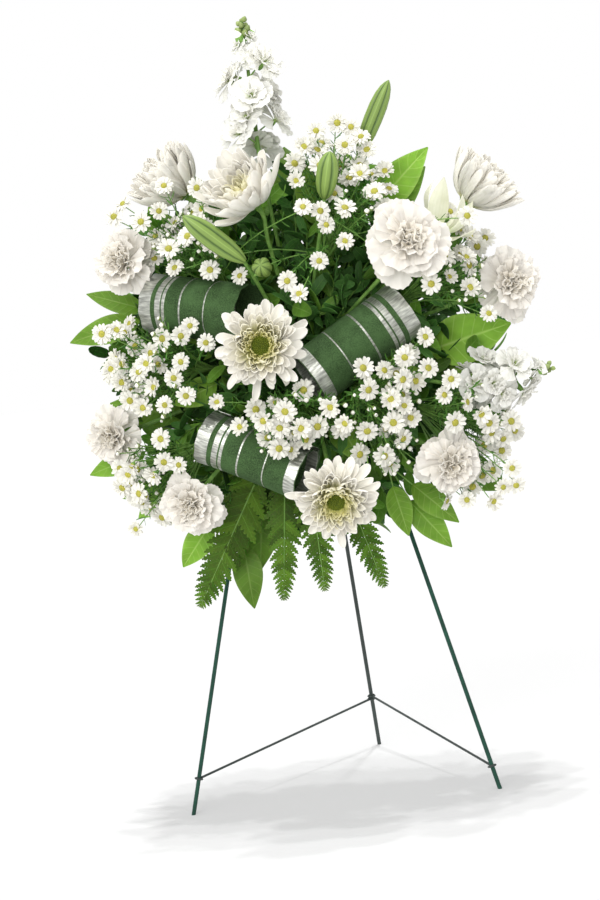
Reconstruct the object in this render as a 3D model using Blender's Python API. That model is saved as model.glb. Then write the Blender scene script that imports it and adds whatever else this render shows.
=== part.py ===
"""Standing funeral spray: mums, carnations, lilies, asters and rolled ribbon on a wire easel.

Metres, +Z up. The viewer stands at -Y. Driving sizes are millimetres times MM, measured with
the two front feet on the line y = 0; the whole object is centred over the origin at the end.
"""

import math
import random

import bmesh
import bpy
from mathutils import Matrix, Vector

MM = 0.001
GAP = 0.3 * MM
STALK_HALF = 1.1 * MM
VIEWER = Vector((0.17, -0.98, 0.05)).normalized()
UP = Vector((0, 0, 1))

# Wire easel
FOOT_HALF_SPREAD = 188 * MM
BACK_FOOT_Y = 320 * MM
APEX = Vector((0, 150, 765)) * MM
LEG_RADIUS = 2.6 * MM
LEG_SIDES = 8
LEG_TOP_SHORT = 16 * MM
BRACE_RADIUS = 1.5 * MM
BRACE_ON_LEFT, BRACE_ON_RIGHT, BRACE_ON_BACK = 0.055, 0.035, 0.087
CLIP_RADIUS = 14 * MM
CLIP_BELOW, CLIP_ABOVE = 27 * MM, 8 * MM
BAR_RADIUS = 2.0 * MM
BAR_HEIGHT = 552 * MM
BAR_OVERHANG = 9 * MM

# Wet foam block in its tray
FOAM_SIZE = Vector((160, 80, 112)) * MM
FOAM_X = 8 * MM
FOAM_LEG_HEIGHT = 521 * MM
TRAY_WALL = 2.5 * MM
TRAY_RIM = 14 * MM
HOOK_THICK = 3 * MM
HOOK_WIDTH = 14 * MM
HOOK_DROP = 9 * MM
HOOK_X = 24 * MM
STEM_DEPTH = 40 * MM

# Blooms: centre, facing direction, radius, seed. A mum also has how far its petals rise as a cup.
MUM_PETALS = 11
CUP_RISE = 42 * MM
CARNATION_COLUMNS = 16
RIDGE = 1.8 * MM
MUMS = {
    "mum_middle": ((2, -172, 556), (0.15, -0.98, 0.04), 60, 0.1, 1),
    "mum_low": ((62, -160, 375), (0.14, -0.93, -0.34), 58, 0.1, 2),
    "mum_top": ((-2, -110, 725), (-0.35, -0.72, 0.60), 52, 0.7, 3),
    "mum_right": ((243, -8, 700), (0.72, 0.18, 0.66), 50, 1.0, 4),
    "mum_left": ((-102, -26, 755), (-0.62, -0.20, 0.75), 51, 1.0, 5),
}
CARNATIONS = {
    "carnation_upper_left": ((-176, -48, 677), (-0.66, -0.68, 0.22), 46, 11),
    "carnation_left": ((-224, -22, 471), (-0.68, -0.70, -0.15), 41, 12),
    "carnation_low": ((-120, -92, 382), (-0.34, -0.78, -0.50), 41, 13),
    "carnation_upper_right": ((175, -130, 652), (0.35, -0.86, 0.35), 50, 14),
    "carnation_right": ((278, -18, 592), (0.86, -0.46, 0.12), 44, 15),
    "carnation_lower_right": ((188, -74, 393), (0.50, -0.76, -0.38), 42, 16),
}

# Ribbon rolls: the two ends of the axis and the outer radius
RIBBONS = {
    "ribbon_roll_left": ((-142, -40, 622), (-22, -86, 594), 37),
    "ribbon_roll_right": ((36, -90, 512), (150, -46, 578), 36),
    "ribbon_roll_low": ((-94, -70, 460), (22, -96, 404), 33),
}
RIBBON_THICK = 0.9 * MM
RIBBON_TURNS = 1.2
RIBBON_SEGMENTS = 18
RIBBON_PITCH = 4 * MM
PICK_RADIUS = 1.6 * MM

# Flower spikes: where the florets start, the tip, floret radius, how many florets and buds
SPIKES = {
    "stock_spike_top": ((4, -40, 776), (0, -22, 936), 21, 8, 7, 21),
    "stock_spike_right": ((204, -36, 482), (306, -2, 490), 19, 7, 5, 22),
}

SPIKE_FLORET_PART = 0.66
GOLDEN_ANGLE = math.pi * (3 - math.sqrt(5))

# Lily buds on one stalk: base, tip and radius of each
LILY_BUDS = {
    "lily_bud_right": [((120, -44, 760), (167, -58, 838), 12)],
    "lily_bud_left": [((-10, -136, 652), (-68, -164, 710), 14), ((10, -122, 640), (10, -154, 645), 12)],
    "lily_bud_top": [((82, -96, 712), (98, -114, 762), 14)],
}
LILY_BASE = Vector((196, -46, 652)) * MM
LILY_AXIS = Vector((0.40, -0.42, 0.81)).normalized()
LILY_TIPS = [(206, -84, 716), (236, -76, 696), (246, -84, 656), (214, -34, 722), (244, -40, 690)]

# Aster sprays: centre, spread across and up, bulge towards the viewer, number of heads, seed
ASTERS = {
    "aster_spray_upper_left": ((-104, -80, 696), 58, 56, 12, 31),
    "aster_spray_top": ((104, -68, 742), 46, 74, 12, 32),
    "aster_spray_upper_right": ((236, -48, 632), 48, 64, 9, 33),
    "aster_spray_left": ((-164, -84, 544), 70, 58, 13, 34),
    "aster_spray_lower_left": ((-182, -58, 396), 50, 52, 11, 35),
    "aster_spray_middle": ((24, -150, 464), 52, 36, 12, 36),
    "aster_spray_right": ((132, -128, 478), 40, 80, 14, 37),
    "aster_spray_lower_right": ((230, -52, 422), 52, 78, 11, 38),
}
ASTER_RADIUS = 14 * MM
ASTER_VALLEY = 5.5 * MM
ASTER_PETALS = 6

# Leafy stems: where the stem ends, then base, tip and width of each broad leaf
LEAFY_STEMS = {
    "leafy_stem_top": (
        (98, 16, 672),
        [
            ((120, 22, 700), (194, 24, 764), 44),
            ((128, 34, 686), (186, 44, 744), 34),
            ((56, 2, 690), (44, -4, 770), 34),
            ((34, 72, 682), (11, 94, 796), 60),
            ((72, 66, 672), (90, 84, 778), 58),
            ((150, 48, 634), (234, 60, 684), 54),
        ],
    ),
    "leafy_stem_left": (
        (-142, 12, 590),
        [
            ((-176, 6, 606), (-264, 0, 590), 34),
            ((-168, 12, 618), (-238, 8, 646), 26),
            ((-150, 10, 532), (-214, 8, 516), 34),
            ((-84, -14, 556), (-148, -18, 572), 28),
            ((-82, -18, 520), (-140, -26, 500), 34),
            ((-72, 66, 672), (-102, 84, 774), 56),
            ((-112, 48, 654), (-160, 60, 744), 50),
        ],
    ),
    "leafy_stem_right": (
        (152, 22, 536),
        [
            ((166, 24, 526), (266, 22, 546), 60),
            ((186, 36, 594), (260, 36, 586), 34),
            ((170, 30, 506), (246, 32, 486), 34),
            ((96, -12, 522), (160, -22, 508), 44),
            ((158, 46, 470), (245, 44, 430), 50),
        ],
    ),
    "leafy_stem_low_right": (
        (108, 4, 392),
        [
            ((130, -6, 372), (180, -14, 322), 32),
            ((122, 8, 352), (166, 6, 292), 34),
            ((106, -2, 372), (118, -6, 312), 30),
            ((52, -20, 464), (78, -40, 406), 40),
            ((152, 40, 404), (240, 36, 350), 48),
        ],
    ),
    "leafy_stem_low_left": (
        (-104, 10, 396),
        [
            ((-84, 6, 320), (-80, 2, 244), 36),
            ((-122, 12, 352), (-164, 14, 302), 34),
            ((-196, 28, 446), (-270, 30, 426), 30),
            ((-160, 12, 400), (-212, 16, 368), 30),
            ((-64, 14, 454), (-102, 16, 402), 36),
            ((-140, 42, 434), (-236, 42, 392), 50),
            ((-140, 42, 482), (-236, 42, 510), 46),
            ((-60, 44, 388), (-74, 40, 286), 52),
        ],
    ),
}

# Fern fronds: where the leaflets start, the tip, half width, pairs of leaflets, droop
FERNS = {
    "fern_low_left": ((-52, -8, 404), (-140, -24, 256), 52, 8, 8),
    "fern_low_middle": ((-18, -20, 400), (-34, -42, 256), 40, 7, 10),
    "fern_low_front": ((14, -36, 392), (22, -74, 266), 38, 7, 8),
    "fern_low_right": ((46, -16, 398), (86, -34, 258), 40, 7, 10),
}


def millimetres(numbers):
    return Vector(numbers) * MM


def clear_scene():
    for thing in list(bpy.data.objects):
        bpy.data.objects.remove(thing)


def make_material(name, colour, roughness, metallic=0.0):
    material = bpy.data.materials.new(name)
    material.use_nodes = True
    shader = material.node_tree.nodes["Principled BSDF"]
    shader.inputs["Base Color"].default_value = (*colour, 1)
    shader.inputs["Roughness"].default_value = roughness
    shader.inputs["Metallic"].default_value = metallic
    return material


FINISHES = {
    "wire": ((0.03, 0.09, 0.06), 0.40, 0.0),
    "foam": ((0.10, 0.26, 0.13), 0.90, 0.0),
    "tray": ((0.05, 0.16, 0.08), 0.45, 0.0),
    "pick": ((0.16, 0.30, 0.12), 0.70, 0.0),
    "ribbon": ((0.05, 0.17, 0.08), 0.75, 0.0),
    "petal": ((0.86, 0.84, 0.76), 0.60, 0.0),
    "stem": ((0.17, 0.33, 0.08), 0.55, 0.0),
    "leaf": ((0.20, 0.42, 0.05), 0.50, 0.0),
    "fern": ((0.05, 0.16, 0.03), 0.55, 0.0),
    "spray": ((0.80, 0.82, 0.72), 0.60, 0.0),
    "bud": ((0.52, 0.64, 0.24), 0.50, 0.0),
}


def make_mesh(name, solid):
    """A mesh of flat triangles from a (points, faces) pair, with its faces pointing out."""
    points, faces = solid
    mesh = bpy.data.meshes.new(name)
    mesh.from_pydata([tuple(point) for point in points], [], faces)
    bm = bmesh.new()
    bm.from_mesh(mesh)
    bmesh.ops.triangulate(bm, faces=bm.faces[:])
    bmesh.ops.recalc_face_normals(bm, faces=bm.faces[:])
    bm.to_mesh(mesh)
    bm.free()
    return mesh


def add_object(name, mesh, finish):
    thing = bpy.data.objects.new(name, mesh)
    bpy.context.scene.collection.objects.link(thing)
    mesh.materials.clear()
    mesh.materials.append(make_material(name, *FINISHES[finish]))
    mesh.shade_smooth()
    mesh.set_sharp_from_angle(angle=math.radians(35))
    return thing


def apply_boolean(thing, solids, operation, solver):
    """One Boolean of an object with a collection of solids, applied, then the solids removed."""
    group = bpy.data.collections.new("boolean parts")
    bpy.context.scene.collection.children.link(group)
    for solid in solids:
        group.objects.link(bpy.data.objects.new("boolean part", make_mesh("boolean part", solid)))
    boolean = thing.modifiers.new("join", "BOOLEAN")
    boolean.operation = operation
    boolean.operand_type = "COLLECTION"
    boolean.collection = group
    boolean.solver = solver
    graph = bpy.context.evaluated_depsgraph_get()
    result = bpy.data.meshes.new_from_object(thing.evaluated_get(graph))
    thing.modifiers.clear()
    thing.data = result
    for part in list(group.objects):
        bpy.data.objects.remove(part)
    bpy.data.collections.remove(group)


def join_solids(name, solids, finish, solver="MANIFOLD"):
    thing = bpy.data.objects.new(name, make_mesh(name, solids[0]))
    bpy.context.scene.collection.objects.link(thing)
    if len(solids) > 1:
        apply_boolean(thing, solids[1:], "UNION", solver)
    mesh = thing.data
    bpy.data.objects.remove(thing)
    return add_object(name, mesh, finish)


def cut_solids(thing, cutters):
    apply_boolean(thing, cutters, "DIFFERENCE", "EXACT")


def side_of(direction):
    """A unit vector square to a direction."""
    helper = UP if abs(direction.z) < 0.8 else Vector((1, 0, 0))
    return direction.cross(helper).normalized()


def tube(points, radii, sides):
    """A closed tube along points, whose radius follows radii (one number, or one for each)."""
    if not hasattr(radii, "__len__"):
        radii = [radii] * len(points)
    verts, faces = [], []
    tangents = []
    for i in range(len(points)):
        before, after = points[max(i - 1, 0)], points[min(i + 1, len(points) - 1)]
        tangents.append((after - before).normalized())
    across = side_of(tangents[0])
    for point, tangent, radius in zip(points, tangents, radii):
        across = (across - tangent * across.dot(tangent)).normalized()
        other = tangent.cross(across)
        for k in range(sides):
            angle = 2 * math.pi * k / sides
            verts.append(point + (across * math.cos(angle) + other * math.sin(angle)) * radius)
    for i in range(len(points) - 1):
        for k in range(sides):
            a, b = i * sides + k, i * sides + (k + 1) % sides
            faces.append((a, b, b + sides, a + sides))
    faces.append(tuple(reversed(range(sides))))
    last = (len(points) - 1) * sides
    faces.append(tuple(last + k for k in range(sides)))
    return verts, faces


def ring(centre, axis, ring_radius, wire_radius, segments=8, sides=4):
    """A closed wire ring round an axis."""
    across = side_of(axis)
    other = axis.cross(across)
    verts, faces = [], []
    for i in range(segments):
        turn = 2 * math.pi * i / segments
        out = across * math.cos(turn) + other * math.sin(turn)
        for k in range(sides):
            angle = 2 * math.pi * k / sides
            offset = ring_radius + wire_radius * math.cos(angle)
            verts.append(centre + out * offset + axis * (wire_radius * math.sin(angle)))
    for i in range(segments):
        for k in range(sides):
            a, b = i * sides + k, i * sides + (k + 1) % sides
            c, d = (a + sides) % len(verts), (b + sides) % len(verts)
            faces.append((a, b, d, c))
    return verts, faces


def extruded(profile, across, depth):
    """A closed solid swept straight across from a flat outline."""
    half = across * depth / 2
    count = len(profile)
    verts = [point - half for point in profile] + [point + half for point in profile]
    faces = [tuple(reversed(range(count))), tuple(range(count, 2 * count))]
    for k in range(count):
        after = (k + 1) % count
        faces.append((k, after, after + count, k + count))
    return verts, faces


def box(centre, size, axes):
    """A box with its sides along three axes."""
    verts = []
    for x in (-0.5, 0.5):
        for y in (-0.5, 0.5):
            for z in (-0.5, 0.5):
                verts.append(centre + axes[0] * x * size[0] + axes[1] * y * size[1] + axes[2] * z * size[2])
    faces = [(0, 1, 3, 2), (4, 6, 7, 5), (0, 4, 5, 1), (2, 3, 7, 6), (0, 2, 6, 4), (1, 5, 7, 3)]
    return verts, faces


def thicken(points, faces, thickness):
    """Close a thin sheet: the same triangles on both faces, and a wall round its edge.

    thickness is one number, or one for each point.
    """
    if not hasattr(thickness, "__len__"):
        thickness = [thickness] * len(points)
    bm = bmesh.new()
    corners = [bm.verts.new(point) for point in points]
    for face in faces:
        bm.faces.new([corners[i] for i in face])
    bmesh.ops.triangulate(bm, faces=bm.faces[:])
    bm.normal_update()
    bm.verts.index_update()
    count = len(corners)
    offsets = [corner.normal * (thick / 2) for corner, thick in zip(corners, thickness)]
    verts = [corner.co + offset for corner, offset in zip(corners, offsets)]
    verts += [corner.co - offset for corner, offset in zip(corners, offsets)]
    solid = []
    for face in bm.faces:
        front = [corner.index for corner in face.verts]
        solid.append(tuple(front))
        solid.append(tuple(i + count for i in reversed(front)))
    for edge in bm.edges:
        if edge.is_boundary:
            loop = edge.link_loops[0]
            a, b = loop.vert.index, loop.link_loop_next.vert.index
            solid.append((b, a, a + count))
            solid.append((b, a + count, b + count))
    bm.free()
    return verts, solid


def placed(solid, centre, axis, spin=0.0):
    """A solid modelled round the origin, facing +Z, turned to face an axis at a centre."""
    turn = axis.to_track_quat("Z", "Y").to_matrix().to_4x4()
    matrix = Matrix.Translation(centre) @ turn @ Matrix.Rotation(spin, 4, "Z")
    return [matrix @ Vector(point) for point in solid[0]], solid[1]


def bridge(faces, low, high):
    """Join two rings of points, in the same order round, whose counts may differ."""
    i = j = 0
    while i < len(low) or j < len(high):
        a, b = low[i % len(low)], high[j % len(high)]
        if j == len(high) or (i < len(low) and (i + 0.5) / len(low) <= (j + 0.5) / len(high)):
            faces.append((a, low[(i + 1) % len(low)], b))
            i += 1
        else:
            faces.append((a, high[(j + 1) % len(high)], b))
            j += 1


def petal_layers(count, layers, bottom, button, rng):
    """A bloom's layers of ridged petals, one above the other round one core.

    A layer is (root radius, root low, root high, stations, tip), a station is (radius, height,
    half width) and a tip is (radius, height). bottom and button are rings of (radius, height).
    """
    points, faces = [Vector((0, 0, bottom[1]))], []

    def root_ring(radius, height, offset):
        first = len(points)
        for k in range(count):
            angle = 2 * math.pi * (k - 0.5 + offset) / count
            points.append(Vector((radius * math.cos(angle), radius * math.sin(angle), height)))
        return list(range(first, first + count))

    ring_below = root_ring(*bottom, 0)
    for k in range(count):
        faces.append((0, ring_below[(k + 1) % count], ring_below[k]))
    for number, (root_radius, low, high, stations, tip) in enumerate(layers):
        offset = 0.5 * (number % 2)
        lower = root_ring(root_radius, low, offset)
        upper = root_ring(root_radius, high, offset)
        bridge(faces, ring_below, lower)
        for k in range(count):
            angle = 2 * math.pi * (k + offset + rng.uniform(-0.12, 0.12)) / count
            length, lift = rng.uniform(0.92, 1.06), rng.uniform(-0.06, 0.06)
            out = Vector((math.cos(angle), math.sin(angle), 0))
            across = Vector((-math.sin(angle), math.cos(angle), 0))
            after = (k + 1) % count
            left, right = (lower[k], upper[k]), (lower[after], upper[after])
            ridge = None
            for radius, height, half_width in stations:
                middle = out * radius * length + UP * (height + lift * radius)
                points.extend([middle - across * half_width, middle + across * half_width])
                points.append(middle + UP * RIDGE)
                new_left, new_right, new_ridge = len(points) - 3, len(points) - 2, len(points) - 1
                faces.append((left[0], right[0], new_right, new_left))
                if ridge is None:
                    faces.append((left[1], new_left, new_ridge))
                    faces.append((left[1], new_ridge, right[1]))
                    faces.append((right[1], new_ridge, new_right))
                    faces.append((left[0], new_left, left[1]))
                    faces.append((right[0], right[1], new_right))
                else:
                    faces.append((left[0], new_left, new_ridge, ridge))
                    faces.append((ridge, new_ridge, new_right, right[0]))
                left, right, ridge = (new_left, new_left), (new_right, new_right), new_ridge
            points.append(out * tip[0] * length + UP * (tip[1] + lift * tip[0]))
            end = len(points) - 1
            faces.append((left[0], right[0], end))
            faces.append((left[0], end, ridge))
            faces.append((ridge, end, right[0]))
        ring_below = upper
    for radius, height in button:
        above = root_ring(radius, height, 0)
        bridge(faces, ring_below, above)
        ring_below = above
    points.append(Vector((0, 0, button[-1][1] + 1.5 * MM)))
    for k in range(count):
        faces.append((ring_below[k], ring_below[(k + 1) % count], len(points) - 1))
    return points, faces


def frilled_head(columns, profile, frill, rng):
    """A carnation's frilled layers as one body: profile is (radius, height, is an edge)."""
    points, faces = [Vector((0, 0, profile[0][1]))], []
    rings = []
    for level, (radius, height, is_edge) in enumerate(profile):
        rings.append(list(range(len(points), len(points) + columns)))
        for k in range(columns):
            angle = 2 * math.pi * k / columns
            reach, wave = radius, 0.0
            if is_edge:
                notch = (k + level) % 5 == 0
                reach = radius * (rng.uniform(0.66, 0.76) if notch else rng.uniform(0.92, 1.05))
                wave = frill * (1 if k % 2 else -1) * rng.uniform(0.6, 1.1)
            points.append(Vector((reach * math.cos(angle), reach * math.sin(angle), height + wave)))
    points.append(Vector((0, 0, profile[-1][1] - 1 * MM)))
    for k in range(columns):
        after = (k + 1) % columns
        faces.append((0, rings[0][after], rings[0][k]))
        faces.append((rings[-1][k], rings[-1][after], len(points) - 1))
        for low, high in zip(rings, rings[1:]):
            faces.append((low[k], low[after], high[after]))
            faces.append((low[k], high[after], high[k]))
    return points, faces


def stalked_star(root, spot, facing, spin, petals, radius, valley, stalk, rng):
    """A small flower of pointed petals round a raised button, on a three-sided stalk from root."""
    side = side_of(facing)
    other = facing.cross(side)
    x, y = side * math.cos(spin) + other * math.sin(spin), other * math.cos(spin) - side * math.sin(spin)
    line = (spot - facing * 9 * MM - root).normalized()
    root_x = (x - line * x.dot(line)).normalized()
    root_y = line.cross(root_x)
    points, faces = [], []
    for centre, across, up, size in ((root, root_x, root_y, 0.5), (spot - facing * 9 * MM, x, y, 1.0)):
        for k in range(3):
            angle = 2 * math.pi * k / 3
            points.append(centre + (across * math.cos(angle) + up * math.sin(angle)) * stalk * size)
    faces.append((2, 1, 0))
    bridge(faces, [0, 1, 2], [3, 4, 5])
    lower, upper = [], []
    for k in range(petals):
        angle = 2 * math.pi * (k - 0.5) / petals
        edge = spot + (x * math.cos(angle) + y * math.sin(angle)) * valley
        points += [edge - facing * 0.9 * MM, edge + facing * 0.9 * MM]
        lower.append(len(points) - 2)
        upper.append(len(points) - 1)
    bridge(faces, [3, 4, 5], lower)
    points.append(spot + facing * 3.2 * MM)
    button = len(points) - 1
    for k in range(petals):
        angle = 2 * math.pi * k / petals
        reach = radius * rng.uniform(0.90, 1.05)
        out = x * math.cos(angle) + y * math.sin(angle)
        points.append(spot + out * reach + facing * rng.uniform(-1, 2) * MM)
        tip, after = len(points) - 1, (k + 1) % petals
        faces += [(upper[k], tip, upper[after]), (lower[k], lower[after], tip)]
        faces += [(upper[k], lower[k], tip), (upper[after], tip, lower[after])]
        faces.append((button, upper[k], upper[after]))
    return points, faces


def pointed_bud(root, out, length, radius, sides=4):
    """A small bud, pointed at both ends."""
    across = side_of(out)
    other = out.cross(across)
    points = [root, root + out * length]
    for k in range(sides):
        angle = 2 * math.pi * k / sides
        offset = (across * math.cos(angle) + other * math.sin(angle)) * radius
        points.append(root + out * length * 0.55 + offset)
    faces = []
    for k in range(sides):
        a, b = 2 + k, 2 + (k + 1) % sides
        faces += [(0, b, a), (1, a, b)]
    return points, faces


def leaf_blade(root, base, tip, width, face, arch=0.10, fold=0.12, thickness=0.9 * MM):
    """A pointed leaf from base to tip on a stalk from root, arched and folded at its midrib."""
    along = tip - base
    length = along.length
    along.normalize()
    across = along.cross(face).normalized()
    normal = across.cross(along)
    stalk = (base - root).normalized()
    beside = (across - stalk * across.dot(stalk)).normalized()
    points = [root - beside * STALK_HALF, root + beside * STALK_HALF]
    for share, half in ((0.0, 0.07), (0.26, 0.90), (0.66, 0.84)):
        middle = base + along * length * share + normal * (arch * length * 4 * share * (1 - share))
        edge = across * (width / 2 * half)
        rise = normal * (fold * width / 2 * half)
        points += [middle - edge + rise, middle, middle + edge + rise]
    points.append(tip)
    faces = [(0, 1, 3), (0, 3, 2), (1, 4, 3)]
    for a in (2, 5):
        faces.append((a, a + 1, a + 4, a + 3))
        faces.append((a + 1, a + 2, a + 5, a + 4))
    faces.append((8, 9, 11))
    faces.append((9, 10, 11))
    return thicken(points, faces, [2 * STALK_HALF] * 5 + [thickness] * (len(points) - 5))


def fern_blade(start, curve, half_width, pairs, face, thickness=1.0 * MM):
    """A fern's leaflets cut to the rib, as one thin sheet along a curve (a function), on a stalk."""
    stalk = (curve(0.0) - start).normalized()
    beside = stalk.cross(face).normalized() * STALK_HALF
    points = [start - beside, start + beside]
    rows = [(0, 1)]
    for i in range(pairs):
        for share in (i, i + 0.74):
            t = share / pairs
            middle = curve(t)
            ahead = (curve(min(t + 0.02, 1.0)) - curve(t - 0.02)).normalized()
            across = ahead.cross(face).normalized() * STALK_HALF
            points += [middle - across, middle + across]
            rows.append((len(points) - 2, len(points) - 1))
    points.append(curve(1.0))
    end = len(points) - 1
    faces = [(first[0], first[1], second[1], second[0]) for first, second in zip(rows, rows[1:])]
    faces.append((rows[-1][0], rows[-1][1], end))
    spacing = (curve(1.0) - curve(0.0)).length / pairs
    for i in range(pairs):
        t = i / pairs
        ahead = (curve(min(t + 0.1, 1.0)) - curve(t)).normalized()
        across = ahead.cross(face).normalized()
        normal = across.cross(ahead)
        reach = half_width * math.sin(math.pi * (0.30 + 0.66 * (i + 0.5) / pairs)) ** 0.8
        for side, sign in ((0, -1), (1, 1)):
            low, high = rows[2 * i + 1][side], rows[2 * i + 2][side]
            out = (across * sign * 0.86 + ahead * 0.50).normalized()
            middle = points[low].lerp(points[high], 0.5) + out * reach * 0.5 + normal * reach * 0.05
            points.append(middle - ahead * spacing * 0.38)
            points.append(middle + ahead * spacing * 0.34)
            points.append(points[low].lerp(points[high], 0.6) + out * reach - normal * reach * 0.10)
            inner, outer, point = len(points) - 3, len(points) - 2, len(points) - 1
            if side:
                faces.append((low, inner, outer, high))
                faces.append((inner, point, outer))
            else:
                faces.append((high, outer, inner, low))
                faces.append((outer, point, inner))
    return thicken(points, faces, [2 * STALK_HALF] * 4 + [thickness] * (len(points) - 4))


def spindle(base, tip, radius, lobes=5):
    """A lily bud: a grooved spindle from base to tip."""
    axis = (tip - base).normalized()
    across = side_of(axis)
    other = axis.cross(across)
    profile = ((0.0, 0.30), (0.22, 0.80), (0.60, 1.0), (0.88, 0.55))
    verts, faces = [base.copy()], []
    sides = lobes * 2
    for share, swell in profile:
        for k in range(sides):
            angle = 2 * math.pi * k / sides
            size = radius * swell * (1.0 if k % 2 else 0.86)
            offset = across * math.cos(angle) + other * math.sin(angle)
            verts.append(base.lerp(tip, share) + offset * size)
    verts.append(tip.copy())
    top = len(verts) - 1
    for k in range(sides):
        after = (k + 1) % sides
        faces.append((0, 1 + after, 1 + k))
        faces.append((top, top - sides + k, top - sides + after))
    for i in range(len(profile) - 1):
        for k in range(sides):
            a, b = 1 + i * sides + k, 1 + i * sides + (k + 1) % sides
            faces.append((a, b, b + sides, a + sides))
    return verts, faces


# The leg plane leans back, and the foam, its tray and the cross bar are set square to it
LEAN = Vector((0, APEX.y, APEX.z)).normalized()
OUTWARD = Vector((0, -LEAN.z, LEAN.y))
PLANE_AXES = (Vector((1, 0, 0)), OUTWARD, LEAN)


def on_leg_plane(x, height):
    return Vector((x, APEX.y * height / APEX.z, height))


TRAY_BACK = LEG_RADIUS + GAP
FOAM_BACK = TRAY_BACK + TRAY_WALL + GAP
FOCUS = on_leg_plane(FOAM_X, FOAM_LEG_HEIGHT) + OUTWARD * (FOAM_BACK + FOAM_SIZE.y / 2)


def stem_start(target):
    """Where a stem that points at the foam's middle ends inside the foam."""
    return FOCUS + (target - FOCUS).normalized() * STEM_DEPTH


STEM_HOLES = []


def drill_for(start, target, radius, sides=4):
    """Note a plain hole in the foam for a straight stem, GAP wider all round."""
    direction = (target - start).normalized()
    wide = (radius + GAP) / math.cos(math.pi / sides)
    STEM_HOLES.append(tube([start - direction * GAP, start + direction * 150 * MM], wide, sides))


def foot_points():
    return {
        "leg_front_left": Vector((-FOOT_HALF_SPREAD, 0, 0)),
        "leg_front_right": Vector((FOOT_HALF_SPREAD, 0, 0)),
        "leg_back": Vector((0, BACK_FOOT_Y, 0)),
    }


def leg_line(foot):
    direction = (APEX - foot).normalized()
    return foot, APEX - direction * LEG_TOP_SHORT, direction


def make_legs():
    """Three straight wires, cut flat where they stand."""
    for name, foot in foot_points().items():
        low, high, direction = leg_line(foot)
        leg = join_solids(name, [tube([low - direction * 12 * MM, high], LEG_RADIUS, LEG_SIDES)], "wire")
        bm = bmesh.new()
        bm.from_mesh(leg.data)
        everything = bm.verts[:] + bm.edges[:] + bm.faces[:]
        bmesh.ops.bisect_plane(bm, geom=everything, plane_co=(0, 0, 0), plane_no=(0, 0, 1), clear_inner=True)
        bmesh.ops.holes_fill(bm, edges=[edge for edge in bm.edges if edge.is_boundary])
        bmesh.ops.triangulate(bm, faces=bm.faces[:])
        bmesh.ops.recalc_face_normals(bm, faces=bm.faces[:])
        bm.to_mesh(leg.data)
        bm.free()


def make_apex_clip():
    """The cap that the three legs are pushed into."""
    low, high = APEX - UP * CLIP_BELOW, APEX - UP * CLIP_ABOVE
    clip = join_solids("apex_clip", [tube([low, high], CLIP_RADIUS, 12)], "wire")
    holes = []
    for foot in foot_points().values():
        _, top, direction = leg_line(foot)
        wide = (LEG_RADIUS + GAP) / math.cos(math.pi / LEG_SIDES)
        holes.append(tube([top - direction * 60 * MM, top + direction * GAP], wide, LEG_SIDES))
    cut_solids(clip, holes)


def make_braces():
    """Two thin wires from the back leg to the front legs, each ending in a ring round its leg."""
    feet = foot_points()
    ring_radius = LEG_RADIUS + GAP + BRACE_RADIUS
    step = 2 * BRACE_RADIUS + 2 * GAP
    back_foot = feet["leg_back"]
    back_direction = (APEX - back_foot).normalized()
    spots = (
        ("brace_left", feet["leg_front_left"], BRACE_ON_LEFT, 0.0),
        ("brace_right", feet["leg_front_right"], BRACE_ON_RIGHT, step),
    )
    for name, foot, share, lift in spots:
        front = foot.lerp(APEX, share)
        back = back_foot.lerp(APEX, BRACE_ON_BACK) + back_direction * lift
        direction = (front - back).normalized()
        solids = [
            tube([back + direction * ring_radius, front - direction * ring_radius], BRACE_RADIUS, 6),
            ring(front, (APEX - foot).normalized(), ring_radius, BRACE_RADIUS),
            ring(back, back_direction, ring_radius, BRACE_RADIUS),
        ]
        join_solids(name, solids, "wire")


def make_cross_bar():
    """The bar behind the front legs that the tray hooks onto."""
    behind = on_leg_plane(0, BAR_HEIGHT) - OUTWARD * (LEG_RADIUS + GAP + BAR_RADIUS)
    reach = FOOT_HALF_SPREAD * (1 - BAR_HEIGHT / APEX.z) + BAR_OVERHANG
    ends = [behind - Vector((reach, 0, 0)), behind + Vector((reach, 0, 0))]
    join_solids("cross_bar", [tube(ends, BAR_RADIUS, 8)], "wire")


def make_tray():
    """A shallow tray behind the foam, with two hooks over the cross bar."""
    middle = on_leg_plane(FOAM_X, FOAM_LEG_HEIGHT)
    side = TRAY_WALL + GAP
    depth = TRAY_WALL + TRAY_RIM
    outer = Vector((FOAM_SIZE.x + 2 * side, depth, FOAM_SIZE.z + 2 * side))
    solids = [box(middle + OUTWARD * (TRAY_BACK + depth / 2), outer, PLANE_AXES)]
    front = TRAY_BACK + TRAY_WALL / 2
    back = -(LEG_RADIUS + GAP + 2 * BAR_RADIUS + GAP)
    under = BAR_RADIUS + GAP
    outline = (
        (front, under),
        (back, under),
        (back, under - HOOK_DROP),
        (back - HOOK_THICK, under - HOOK_DROP),
        (back - HOOK_THICK, under + HOOK_THICK),
        (front, under + HOOK_THICK),
    )
    for x in (FOAM_X - HOOK_X, FOAM_X + HOOK_X):
        bar = on_leg_plane(x, BAR_HEIGHT)
        profile = [bar + OUTWARD * out + LEAN * rise for out, rise in outline]
        solids.append(extruded(profile, PLANE_AXES[0], HOOK_WIDTH))
    tray = join_solids("foam_tray", solids, "tray")
    room = Vector((FOAM_SIZE.x + 2 * GAP, TRAY_RIM * 2, FOAM_SIZE.z + 2 * GAP))
    cut_solids(tray, [box(middle + OUTWARD * (TRAY_BACK + TRAY_WALL + TRAY_RIM), room, PLANE_AXES)])


def make_foam():
    """The wet foam block, with a plain hole for every stem and pick."""
    foam = join_solids("foam_block", [box(FOCUS, FOAM_SIZE, PLANE_AXES)], "foam")
    cut_solids(foam, STEM_HOLES)


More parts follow.
